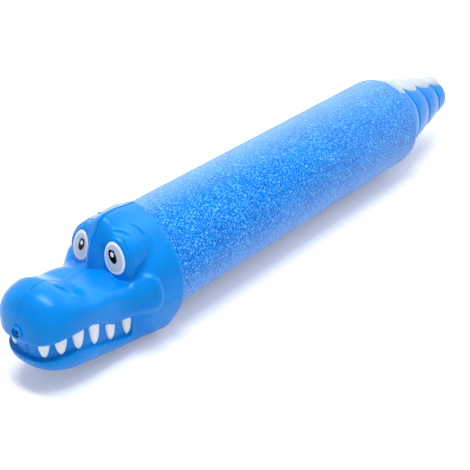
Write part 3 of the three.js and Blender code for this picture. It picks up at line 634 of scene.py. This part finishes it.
def tail_place(points):
    """Points measured back from the foam's rear end."""
    return world_place(points, FOAM_END, -1)


def grid_faces(rows, columns, wrap):
    """Four-sided faces of a grid of points, closed round its columns if it wraps."""
    index = np.arange(rows * columns).reshape(rows, columns)
    if wrap:
        index = np.concatenate([index, index[:, :1]], 1)
    corners = [index[:-1, :-1], index[:-1, 1:], index[1:, 1:], index[1:, :-1]]
    return np.stack(corners, -1).reshape(-1, 4)


def joined(grids):
    """Points and faces of several wrapped grids of one size, as one mesh."""
    one = grid_faces(*grids[0].shape[:2], True)
    count = grids[0][..., 0].size
    points = np.concatenate([grid.reshape(-1, 3) for grid in grids])
    return points, np.concatenate([one + i * count for i in range(len(grids))])


def add_mesh(name, points, faces):
    """A named object with a mesh whose doubles are merged and whose faces point outwards."""
    mesh = bpy.data.meshes.new(name)
    mesh.from_pydata(points.tolist(), [], faces)
    work = bmesh.new()
    work.from_mesh(mesh)
    bmesh.ops.remove_doubles(work, verts=work.verts, dist=MERGE_WITHIN)
    bmesh.ops.dissolve_degenerate(work, edges=work.edges, dist=DISSOLVE_WITHIN)
    bmesh.ops.recalc_face_normals(work, faces=work.faces)
    work.to_mesh(mesh)
    work.free()
    made = bpy.data.objects.new(name, mesh)
    bpy.context.scene.collection.objects.link(made)
    return made


def soften(mesh):
    """Smooth shading that keeps edges sharp past an angle."""
    mesh.shade_smooth()
    mesh.set_sharp_from_angle(angle=SHARP_ANGLE)


def make_piece(name, points, faces, material, body, slot, nodes=()):
    """A named mesh in its finish, which rides on a body and stands for CAD nodes."""
    made = add_mesh(name, points, faces.tolist())
    soften(made.data)
    made.data.materials.append(material)
    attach(made, body)
    if nodes:
        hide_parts(*nodes)
    return made


def turned(profile):
    """A closed profile of [x, radius] points carried round the X axis, as a grid of points."""
    turn = np.linspace(0, 2 * np.pi, TURN_STEPS, endpoint=False)
    x, radius = np.array(profile, float).T[..., None]
    grid = np.stack(np.broadcast_arrays(x, radius * np.cos(turn), radius * np.sin(turn)), -1)
    return np.concatenate([grid, grid[:1]], 0)


def make_turned(name, profile, place, *rest):
    """A turned piece from a closed profile."""
    grid = turned(profile)
    return make_piece(name, place(grid), grid_faces(*grid.shape[:2], True), *rest)


def rounded(profile, radius, steps=5):
    """A closed profile with each corner replaced by a parabola between points that far along its sides."""
    corners = np.array(profile, float)
    ends = []
    for neighbour in (1, -1):
        side = np.roll(corners, neighbour, 0) - corners
        length = np.linalg.norm(side, axis=1)[:, None]
        ends.append((corners + side / length * np.minimum(radius, length / CORNER_SHARE))[:, None])
    t = np.linspace(0, 1, steps)[None, :, None]
    curve = (1 - t) ** 2 * ends[0] + 2 * t * (1 - t) * corners[:, None] + t ** 2 * ends[1]
    return curve.reshape(-1, 2)


# Head halves
CORE_FRONT = 48
CORE_HEIGHT = -16.5
CORE_REAR_HEIGHT = -4
CORE_SINK = (8, 44)
RAY_REACH = 72
EDGE_ROWS = 15
EDGE_RUN = 3
LEVEL_ROWS = 130
FAN_ROWS = 150
FOAM_GAP = 0.3
FOAM_ROOM = FOAM_RADIUS + FOAM_GAP
# How far the flared mouth of the bore runs along and outwards
BORE_FLARE = (0.6, 0.5)


def head_rows():
    """Starts and ways of rays from the head's core: level rows to CORE_FRONT, then a fan to the front."""
    # Columns stand closest at the seam, and closer over mouth and cheek than over the brow
    knots = [0, 6, 12, 50, 180, 250, 258, 266]
    angles = np.radians([-90, -89.2, -87.2, -45, 14, 86, 89.2, 90])
    turn = np.interp(np.arange(knots[-1] + 1), knots, angles)
    rear = COLLAR_REAR + EDGE_RUN * np.linspace(0, 1, EDGE_ROWS) ** 2
    level = np.concatenate([rear[:-1], np.linspace(rear[-1], CORE_FRONT, LEVEL_ROWS)])
    fan = np.radians(np.linspace(0, 90, FAN_ROWS))[1:]
    core = mix(CORE_REAR_HEIGHT, CORE_HEIGHT, smooth(level, *CORE_SINK))
    along = np.concatenate([level, np.full(len(fan), CORE_FRONT)])[:, None]
    height = np.concatenate([core, np.full(len(fan), CORE_HEIGHT)])[:, None]
    lean = np.concatenate([0 * level, fan])[:, None]
    start = np.stack(np.broadcast_arrays(along, 0 * turn, height), -1)
    out = np.cos(lean)
    way = np.stack(np.broadcast_arrays(np.sin(lean), out * np.cos(turn), out * np.sin(turn)), -1)
    return start, way


def axis_ring(angle, u, radius):
    """A ring of points round the barrel's axis at the given angles."""
    return np.stack([0 * angle + u, radius * np.cos(angle), radius * np.sin(angle)], -1)


def head_half():
    """Left half of the head: the field's surface on rays from the core, closed by the seam and the bore."""
    start, way = head_rows()
    outer = cast(head_field, start, way, RAY_REACH)
    edge = outer[0]
    angle = np.arctan2(edge[:, 2], edge[:, 1])
    bore_end = FOAM_FRONT + FOAM_GAP
    bore = (
        (bore_end, 0),
        (bore_end, FOAM_ROOM),
        (COLLAR_REAR + BORE_FLARE[0], FOAM_ROOM),
        (COLLAR_REAR, FOAM_ROOM + BORE_FLARE[1]),
    )
    inside = np.stack([axis_ring(angle, *spot) for spot in bore])
    grid = np.concatenate([inside, outer], 0)
    core = np.concatenate([np.stack([inside[0, 0]] * len(bore)), start[:, 0]], 0)
    grid = np.concatenate([core[:, None], grid, core[:, None]], 1)
    grid[..., 1] = np.maximum(grid[..., 1], SEAM)
    return grid


def cutter(name, pegs, steps=40):
    """Round pegs, each from one point to another with a radius, as one mesh to cut with."""
    turn = np.linspace(0, 2 * np.pi, steps, endpoint=False)
    points, faces = [], []
    for low, high, radius in pegs:
        low, high = np.array(low, float), np.array(high, float)
        axis = (high - low) / np.linalg.norm(high - low)
        side = np.cross(axis, [0, 0, 1])
        side = side / np.linalg.norm(side)
        ring = radius * (np.cos(turn)[:, None] * side + np.sin(turn)[:, None] * np.cross(axis, side))
        rim = np.arange(steps) + len(points) * 2 * steps
        points.append(np.concatenate([low + ring, high + ring]))
        faces += (grid_faces(2, steps, True) + rim[0]).tolist()
        faces += [rim[::-1].tolist(), (rim + steps).tolist()]
    return add_mesh(name, head_place(np.concatenate(points)), faces)


def cut_away(target, tool):
    """Cuts the tool out of the target's mesh and removes the tool."""
    change = target.modifiers.new("cut", "BOOLEAN")
    change.object = tool
    change.operation = "DIFFERENCE"
    change.solver = "EXACT"
    bpy.context.view_layer.update()
    graph = bpy.context.evaluated_depsgraph_get()
    mesh = bpy.data.meshes.new_from_object(target.evaluated_get(graph))
    target.modifiers.clear()
    target.data = mesh
    soften(mesh)
    bpy.data.objects.remove(tool)


SPOUT_ROOM = 2.3
NOZZLE_CUT = (60, 90)
SCREW_WELL = 3.1
SCREW_SEAT = 6
WELL_MOUTH = 60
head_grid = head_half()
head_faces = grid_faces(*head_grid.shape[:2], False)
nozzle_peg = ([NOZZLE_CUT[0], 0, 0], [NOZZLE_CUT[1], 0, 0], SPOUT_ROOM)
wells = []
for screw_name in ("head_screw_brow", "head_screw_nose", "head_screw_jaw"):
    screw_low, screw_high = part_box(screw_name)
    screw_middle = (screw_low + screw_high) / 2 / MM
    u, z = screw_middle.x - COLLAR_AT, screw_middle.z - AXIS_HEIGHT
    wells.append(([u, -WELL_MOUTH, z], [u, -SCREW_SEAT, z], SCREW_WELL))
head_left = make_piece(
    "head_left", head_place(head_grid), head_faces, BLUE, "squirter", "blue_plastic", ["head_shell_left"])
cut_away(head_left, cutter("nozzle_hole", [nozzle_peg]))
head_right = make_piece(
    "head_right", head_place(head_grid * [1, -1, 1]), head_faces, BLUE, "squirter", "blue_plastic",
    ["head_shell_right"])
cut_away(head_right, cutter("right_holes", [nozzle_peg, *wells]))

# Nozzle ring and the spout's tip inside it
RING_RADIUS = 3.6
RING_REAR = 70
RING_EDGE = 0.45
SPOUT_RECESS = 0.8
SPOUT_LENGTH = 30
SPOUT_BORE = 1.1
SPOUT_ROOT = 2.6
SPOUT_TIP = 1.9
SPOUT_EDGE = 0.2
ring_profile = [
    [RING_REAR, SPOUT_ROOM], [RING_REAR, RING_RADIUS],
    [NOZZLE_FACE, RING_RADIUS], [NOZZLE_FACE, SPOUT_ROOM],
]
make_turned("nozzle_ring", rounded(ring_profile, RING_EDGE), head_place, BLUE, "squirter", "blue_plastic")
spout_rear = NOZZLE_FACE - SPOUT_LENGTH
spout_front = NOZZLE_FACE - SPOUT_RECESS
spout_profile = [
    [spout_rear, SPOUT_BORE], [spout_rear, SPOUT_ROOT],
    [spout_front, SPOUT_TIP], [spout_front, SPOUT_BORE],
]
make_turned(
    "spout", rounded(spout_profile, SPOUT_EDGE), head_place, BLUE, "squirter", "blue_plastic", ["spout_cap"])


# Eyes
EYE_EGG = 0.1
PUPIL_TILT = 0.45
EYE_SINK = 1.0
EYE_RIM_POWER = 10
EYE_STEPS = 72
EYE_BORDER = (0.7, 0.8)
EYE_HALF = (EYE_HALF_WIDTH, EYE_HALF_HEIGHT)
GREY_HALF = (EYE_HALF_WIDTH - EYE_BORDER[0], EYE_HALF_HEIGHT - EYE_BORDER[1])
# Layers of an eye: name, middle, half sizes, tilt, lift, egg shape and print; for the sheen layer the print
# is a painted reflection on the pupil
EYE_LAYERS = (
    ("eye_border", (0, 0), EYE_HALF, EYE_TILT, 0.35, EYE_EGG, EYE_WHITE),
    ("eye_grey", (0, 0), GREY_HALF, EYE_TILT, 0.42, EYE_EGG, EYE_GREY),
    ("pupil", (-0.85, 0.7), (2.2, 4.1), PUPIL_TILT, 0.5, 0, PUPIL),
    ("glint", (-1.15, 1.7), (1.1, 1.5), PUPIL_TILT, 0.56, 0, EYE_WHITE),
    # The sheen is a painted reflection: a dark blue patch on the pupil
    ("sheen", (-0.4, 3.1), (0.7, 1.1), PUPIL_TILT, 0.54, 0, PUPIL_SHEEN_PAINT),
)


def eye_disc(middle, half, tilt, lift, egg):
    """An oval cap on the eye pad: rings of an egg shape, lifted with a rounded rim, and a sunk back."""
    # Rings stand closest at the rim, and the last two close the back
    share = np.concatenate([np.linspace(0, 0.9, 10), [0.94, 0.97, 0.99, 1.0, 1.0, 0.0]])
    height = lift * np.sqrt(np.clip(1 - share ** EYE_RIM_POWER, 0, 1))
    height[-2:] = -EYE_SINK
    turn = np.linspace(0, 2 * np.pi, EYE_STEPS, endpoint=False)
    a = share[:, None] * half[0] * np.cos(turn) * (1 - egg * np.sin(turn))
    b = share[:, None] * half[1] * np.sin(turn)
    cos, sin = np.cos(tilt), np.sin(tilt)
    across = middle[0] + a * cos - b * sin
    upright = middle[1] + a * sin + b * cos
    flat = EYE_MIDDLE + across[..., None] * EYE_LEVEL + upright[..., None] * EYE_UPRIGHT
    return flat + height[:, None, None] * EYE_FACING


for side, word in ((1, "left"), (-1, "right")):
    for layer, *shape, ink in EYE_LAYERS:
        disc = eye_disc(*shape) * [1, side, 1]
        stands_for = [f"eye_{word}"] if layer == "eye_border" else []
        make_piece(
            f"{layer}_{word}", head_place(disc), grid_faces(*disc.shape[:2], True), ink,
            "squirter", "eye_plastic", stands_for)

# Teeth
TOOTH_FIRST = 7.9
TOOTH_PITCH = 7.3
TOOTH_PITCH_GROWTH = 0.44
TOOTH_HALF_WIDTH = 3.35
TOOTH_NARROWING = 0.3
TOOTH_TIP_POWER = 4
TOOTH_TIP_ROUND = 0.55
TOOTH_SECTION_POWER = 0.8
TOOTH_PROUD = 1.7
TOOTH_ROOT = 2.2
TOOTH_TO_RIM = 0.2
TEETH_PER_SIDE = 6
TOOTH_ROWS = 16
TOOTH_STEPS = 28
WALK_POINTS = 400
WALK_STEP = 0.4


def band_walk(distance):
    """Place and direction on the mouth band at a distance along it from its front, from summed steps."""
    front = JAW_FRONT - BAND_RECESS
    u = mix(front, BAND_REAR, np.linspace(0, 1, WALK_POINTS) ** 2)
    path = np.stack([u, band_half(u, BAND_RECESS)])
    length = np.concatenate([[0], np.cumsum(np.linalg.norm(np.diff(path), axis=0))])
    spots = distance + WALK_STEP * np.array([-1, 0, 1])
    before, place, after = np.array([np.interp(spots, length, row) for row in path]).T
    return place, (after - before) / np.linalg.norm(after - before)


def signed_power(value):
    """A sine or cosine raised to a power with its sign kept, for a squarer round."""
    return np.sign(value) * np.abs(value) ** TOOTH_SECTION_POWER


def tooth(distance):
    """A fang: ovals that narrow from the lip to a rounded tip, half sunk in the mouth band."""
    place, along = band_walk(distance)
    out = np.array([along[1], -along[0]])
    share = np.concatenate([[0, 0], np.sin(np.linspace(0, np.pi / 2, TOOTH_ROWS))])
    tip = (1 - share ** TOOTH_TIP_POWER) ** TOOTH_TIP_ROUND
    tip[0] = 0
    width = TOOTH_HALF_WIDTH * (1 - TOOTH_NARROWING * share) * tip
    spread = TOOTH_HALF_WIDTH * abs(along[0])
    lip = max(lip_at(place[0] - spread), lip_at(place[0] + spread))
    height = mix(lip + TOOTH_ROOT, rim_at(place[0]) + TOOTH_TO_RIM, share)
    turn = np.linspace(0, 2 * np.pi, TOOTH_STEPS, endpoint=False)
    a = width[:, None] * signed_power(np.cos(turn))
    o = TOOTH_PROUD * tip[:, None] * signed_power(np.sin(turn))
    x = place[0] + a * along[0] + o * out[0]
    y = place[1] + a * along[1] + o * out[1]
    return np.stack(np.broadcast_arrays(x, y, height[:, None]), -1)


tooth_steps = np.arange(TEETH_PER_SIDE)
tooth_places = TOOTH_FIRST + tooth_steps * (TOOTH_PITCH + tooth_steps * TOOTH_PITCH_GROWTH)
teeth_points, teeth_faces = joined([tooth(distance) for distance in tooth_places])
for side, word in ((1, "left"), (-1, "right")):
    make_piece(
        f"teeth_row_{word}", head_place(teeth_points * [1, side, 1]), teeth_faces, WHITE, "squirter",
        "white_plastic", [f"teeth_{word}"])

# Foam sleeve
BARREL_ROOM = 17.3
FOAM_EDGE = 2.2
FOAM_EDGE_STEPS = 9
foam_rear = FOAM_END - COLLAR_AT
foam_profile = [
    [foam_rear, BARREL_ROOM], [foam_rear, FOAM_RADIUS],
    [FOAM_FRONT, FOAM_RADIUS], [FOAM_FRONT, BARREL_ROOM],
]
foam_piece = make_turned(
    "foam_tube", rounded(foam_profile, FOAM_EDGE, FOAM_EDGE_STEPS), head_place, FOAM,
    "squirter", "blue_foam", ["foam_sleeve"])

# Tail
TAIL_ROOT_RADIUS = 24.2
TAIL_TIP_RADIUS = 8.4
TAIL_DROOP = 3.2
TAIL_TIP_ROUND = 9
TAIL_FIRST_RING = 14.6
TAIL_RINGS = 3
TAIL_PITCH = (TAIL_LENGTH - TAIL_FIRST_RING) / TAIL_RINGS
TAIL_GROOVES = [TAIL_FIRST_RING + i * TAIL_PITCH for i in range(TAIL_RINGS)]
TAIL_RING_SWELL = 0.7
GROOVE_DEPTH = 1.2
GROOVE_HALF = 0.78
TAIL_EDGE = 1.2
TAIL_SEAM_DEPTH = 0.4
TAIL_SEAM_HALF = 0.03
TAIL_EDGE_ROWS = 8
TAIL_ROWS = 230
TAIL_TIP_ROWS = 24
SCUTE_HALF_ANGLE = 0.58
SCUTE_RISE = 3.4
SCUTE_SINK = 0.6
SCUTE_ROOT = 2.2
SCUTE_GAP = 0.5
SCUTE_TO_TIP = 3
SCUTE_DOME_POWER = 0.5
SCUTE_PLAN_POWER = 0.25
SCUTE_END = 0.02
SCUTE_ROWS = 40


def ring_share(d):
    """How far a place is along its own ring of the tail, from 0 to 1."""
    ends = np.array([0, *TAIL_GROOVES, TAIL_LENGTH])
    i = np.clip(np.searchsorted(ends, d, "right") - 1, 0, len(ends) - 2)
    return np.clip((d - ends[i]) / (ends[i + 1] - ends[i]), 0, 1)


def tail_cone(d):
    """Radius of a blunt cone with a round tip."""
    tip = round_off((d - TAIL_LENGTH + TAIL_TIP_ROUND) / TAIL_TIP_ROUND, ELLIPSE)
    return mix(TAIL_ROOT_RADIUS, TAIL_TIP_RADIUS, d / TAIL_LENGTH) * tip


def tail_radius(d):
    """The cone with a swell along each ring and a rounded groove between rings."""
    tip = smooth(TAIL_LENGTH - d, 0, TAIL_TIP_ROUND)
    grooves = np.exp(-((d[..., None] - np.array(TAIL_GROOVES)) / GROOVE_HALF) ** 2).sum(-1)
    swell = TAIL_RING_SWELL * np.sin(np.pi * ring_share(d)) * tip
    edge = TAIL_EDGE * (1 - round_off((TAIL_START + TAIL_EDGE - d) / TAIL_EDGE, ELLIPSE))
    return tail_cone(d) + swell - GROOVE_DEPTH * grooves - edge


def tail_half():
    """Left half of the tail: its radius along the length and round half a turn, closed at the seam."""
    # Columns stand closest at the seam, and rows at the front edge and the tip
    knots = [0, 5, 95, 100]
    angles = np.radians([-90, -88.5, 88.5, 90])
    turn = np.interp(np.arange(knots[-1] + 1), knots, angles)
    d = np.concatenate([
        TAIL_START + TAIL_EDGE * np.linspace(0, 1, TAIL_EDGE_ROWS)[:-1] ** 2,
        np.linspace(TAIL_START + TAIL_EDGE, TAIL_LENGTH - TAIL_TIP_ROUND, TAIL_ROWS)[:-1],
        TAIL_LENGTH - TAIL_TIP_ROUND * (1 - np.sin(np.linspace(0, np.pi / 2, TAIL_TIP_ROWS))),
    ])[:, None]
    seam = np.exp(-((np.pi / 2 - np.abs(turn)) / TAIL_SEAM_HALF) ** 2)
    radius = np.maximum(tail_radius(d) - TAIL_SEAM_DEPTH * seam, 0)
    middle = -TAIL_DROOP * d / TAIL_LENGTH
    grid = np.stack(np.broadcast_arrays(d, radius * np.cos(turn), middle + radius * np.sin(turn)), -1)
    core = np.stack([d, 0 * d, middle], -1)
    grid = np.concatenate([core, grid, core], 1)
    front = grid[:1].copy()
    front[..., 1:] = core[:1, :, 1:]
    grid = np.concatenate([front, grid], 0)
    grid[..., 1] = np.maximum(grid[..., 1], SEAM)
    return grid


tail_grid = tail_half()
tail_faces = grid_faces(*tail_grid.shape[:2], False)
make_piece("tail_left", tail_place(tail_grid), tail_faces, BLUE, "tail", "blue_plastic", ["tail_shell_left"])
make_piece(
    "tail_right", tail_place(tail_grid * [1, -1, 1]), tail_faces, BLUE, "tail", "blue_plastic",
    ["tail_shell_right"])


def scute(start, end):
    """A domed plate on the tail's back: a power of two sines lifts it from the cone that it follows."""
    share = np.linspace(0, 1, SCUTE_ROWS)[:, None]
    spread = np.linspace(-1, 1, SCUTE_ROWS)
    d = mix(start, end, share)
    rise = (np.sin(np.pi * share) * np.cos(np.pi / 2 * spread)) ** SCUTE_DOME_POWER
    plan = np.sin(np.pi * np.clip(share, SCUTE_END, 1 - SCUTE_END)) ** SCUTE_PLAN_POWER
    turn = SCUTE_HALF_ANGLE * spread * plan
    top = tail_cone(d) - SCUTE_SINK + (SCUTE_RISE + SCUTE_SINK) * rise
    layers = []
    for radius in (top, tail_cone(d) - SCUTE_ROOT):
        y = radius * np.sin(turn)
        z = radius * np.cos(turn) - TAIL_DROOP * d / TAIL_LENGTH
        layers.append(np.stack(np.broadcast_arrays(d, y, z), -1))
    return np.concatenate([layers[0], layers[1][:, ::-1]], 1)


scute_ends = [TAIL_START, *TAIL_GROOVES, TAIL_LENGTH - SCUTE_TO_TIP]
scute_runs = zip(scute_ends[:-1], scute_ends[1:])
scute_points, scute_faces = joined([scute(a + SCUTE_GAP, b - SCUTE_GAP) for a, b in scute_runs])
make_piece("scutes", tail_place(scute_points), scute_faces, MILKY, "tail", "white_plastic", ["scute_strip"])

# Rod and rear guide, which show when the plunger is pulled
ROD_RADIUS = 7
ROD_BORE = 5.4
ROD_EDGE = 0.5
ROD_FLANGE_WIDTH = 2.6
GUIDE_GAP = 0.3
GUIDE_NECK = 15.1
GUIDE_RIM_WIDTH = 2.4
GUIDE_EDGE = 0.6


def tail_span(name):
    """A CAD piece's front and rear, measured back from the foam's rear end, and its outer radius."""
    low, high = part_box(name)
    return FOAM_END - high.x / MM, FOAM_END - low.x / MM, (high.z - low.z) / 2 / MM


rod_front, rod_rear, rod_flange = tail_span("plunger_rod")
rod_profile = [
    [rod_rear, ROD_BORE], [rod_rear, rod_flange],
    [rod_rear - ROD_FLANGE_WIDTH, rod_flange], [rod_rear - ROD_FLANGE_WIDTH, ROD_RADIUS],
    [rod_front, ROD_RADIUS], [rod_front, ROD_BORE],
]
make_turned(
    "rod", rounded(rod_profile, ROD_EDGE), tail_place, PIPE, "plunger", "pipe_plastic", ["plunger_rod"])
guide_front, guide_rear, guide_rim = tail_span("rear_guide")
guide_bore = ROD_RADIUS + GUIDE_GAP
guide_profile = [
    [guide_rear, guide_bore], [guide_rear, guide_rim],
    [guide_rear - GUIDE_RIM_WIDTH, guide_rim], [guide_rear - GUIDE_RIM_WIDTH, GUIDE_NECK],
    [guide_front, GUIDE_NECK], [guide_front, guide_bore],
]
make_turned(
    "guide", rounded(guide_profile, GUIDE_EDGE), tail_place, BLUE, "squirter", "blue_plastic",
    ["rear_guide"])

# CAD pieces that stay as they are, in their finishes
kept = {
    "barrel_tube": PIPE, "cap_seal": RUBBER, "piston": PIPE, "piston_seal": RUBBER,
    "head_screw_brow": STEEL, "head_screw_nose": STEEL, "head_screw_jaw": STEEL,
    "tail_screw_front": STEEL, "tail_screw_rear": STEEL,
}
for name, finish in kept.items():
    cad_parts[name].data.materials.clear()
    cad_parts[name].data.materials.append(finish)

# Camera, in metres, as fitted to the sleeve, the head and the tail
CAMERA_PLACE = (0.4846, 0.3502, 0.3190)
CAMERA_WAY = (-0.69868, -0.53943, -0.46995)
CAMERA_LENS = 90.84
CAMERA_SENSOR = 36
camera = bpy.data.objects.new("camera", bpy.data.cameras.new("camera"))
bpy.context.scene.collection.objects.link(camera)
camera.location = CAMERA_PLACE
camera.rotation_euler = Vector(CAMERA_WAY).to_track_quat("-Z", "Y").to_euler()
camera.data.lens = CAMERA_LENS
camera.data.sensor_width = CAMERA_SENSOR
bpy.context.scene.camera = camera


# Floor, light and background, with sizes in metres
FLOOR_HALF = 6
FLOOR_TONE = linear("#f3f3f3")
PURE_WHITE = linear("#ffffff")
GLOW_FROM, GLOW_TO = 0.4, 1.2
GLOW_NEAR, GLOW_FAR = 0.25, 0.7
ROOM_LIGHT = 0.33


def white_to_the_eye(tree, shader, strength):
    """Adds a white glow that only camera, glossy and clear rays see, as strong as a number or an output."""
    path = node(tree, "ShaderNodeLightPath").outputs
    seen = path["Is Camera Ray"]
    for kind in ("Is Glossy Ray", "Is Transmission Ray"):
        seen = node(tree, "ShaderNodeMath", {0: seen, 1: path[kind]}, operation="MAXIMUM").outputs[0]
    power = node(tree, "ShaderNodeMath", {0: seen}, operation="MULTIPLY")
    if isinstance(strength, float):
        power.inputs[1].default_value = strength
    else:
        tree.links.new(strength, power.inputs[1])
    glow = node(tree, "ShaderNodeEmission", {"Strength": power.outputs[0]}, Color=PURE_WHITE)
    return node(tree, "ShaderNodeAddShader", {0: shader.outputs[0], 1: glow.outputs[0]})


def white_floor(name):
    """A smooth white studio floor that keeps the object's shadow and runs out into white far from it."""
    made, tree, place = start_material(name)
    away = node(tree, "ShaderNodeVectorMath", {0: place}, operation="LENGTH")
    strength = node(
        tree, "ShaderNodeMapRange", {"Value": away.outputs["Value"]},
        From_Min=GLOW_FROM, From_Max=GLOW_TO, To_Min=GLOW_NEAR, To_Max=GLOW_FAR,
    )
    shader = node(tree, "ShaderNodeBsdfDiffuse", Color=FLOOR_TONE)
    glowing = white_to_the_eye(tree, shader, strength.outputs[0])
    node(tree, "ShaderNodeOutputMaterial", {"Surface": glowing.outputs[0]})
    return made


floor_corners = [(x * FLOOR_HALF, y * FLOOR_HALF, 0) for x, y in ((-1, -1), (1, -1), (1, 1), (-1, 1))]
floor_mesh = bpy.data.meshes.new("floor")
floor_mesh.from_pydata(floor_corners, [], [(0, 1, 2, 3)])
floor = bpy.data.objects.new("floor", floor_mesh)
bpy.context.scene.collection.objects.link(floor)
floor_mesh.materials.append(white_floor("white_floor"))


def area_light(name, place, aim, size, power):
    """A soft light at a place, turned to an aim: its size is a width and a height, its power is in watts."""
    lamp = bpy.data.lights.new(name, "AREA")
    lamp.shape = "RECTANGLE"
    lamp.size, lamp.size_y = size
    lamp.energy = power
    made = bpy.data.objects.new(name, lamp)
    made.location = place
    made.rotation_euler = (Vector(aim) - Vector(place)).to_track_quat("-Z", "Y").to_euler()
    bpy.context.scene.collection.objects.link(made)


# A strip above the nose, a large panel behind and above, and a weak fill from the front
area_light("overhead", (0.22, 0, 1.1), (0.12, 0, 0), (0.7, 0.2), 10)
area_light("rear_panel", (-0.72, 0, 1.1), (0.05, 0, 0), (2.2, 1.0), 13)
area_light("front", (1.0, 0.5, 0.5), (0.1, 0, 0.03), (0.9, 0.9), 0.8)

world = bpy.data.worlds.new("studio")
bpy.context.scene.world = world
world.use_nodes = True
world.node_tree.nodes.clear()
room = node(world.node_tree, "ShaderNodeBackground", Color=PURE_WHITE, Strength=ROOM_LIGHT)
seen_room = white_to_the_eye(world.node_tree, room, 1 - ROOM_LIGHT)
node(world.node_tree, "ShaderNodeOutputWorld", {"Surface": seen_room.outputs[0]})

bpy.context.scene.view_settings.view_transform = "Standard"
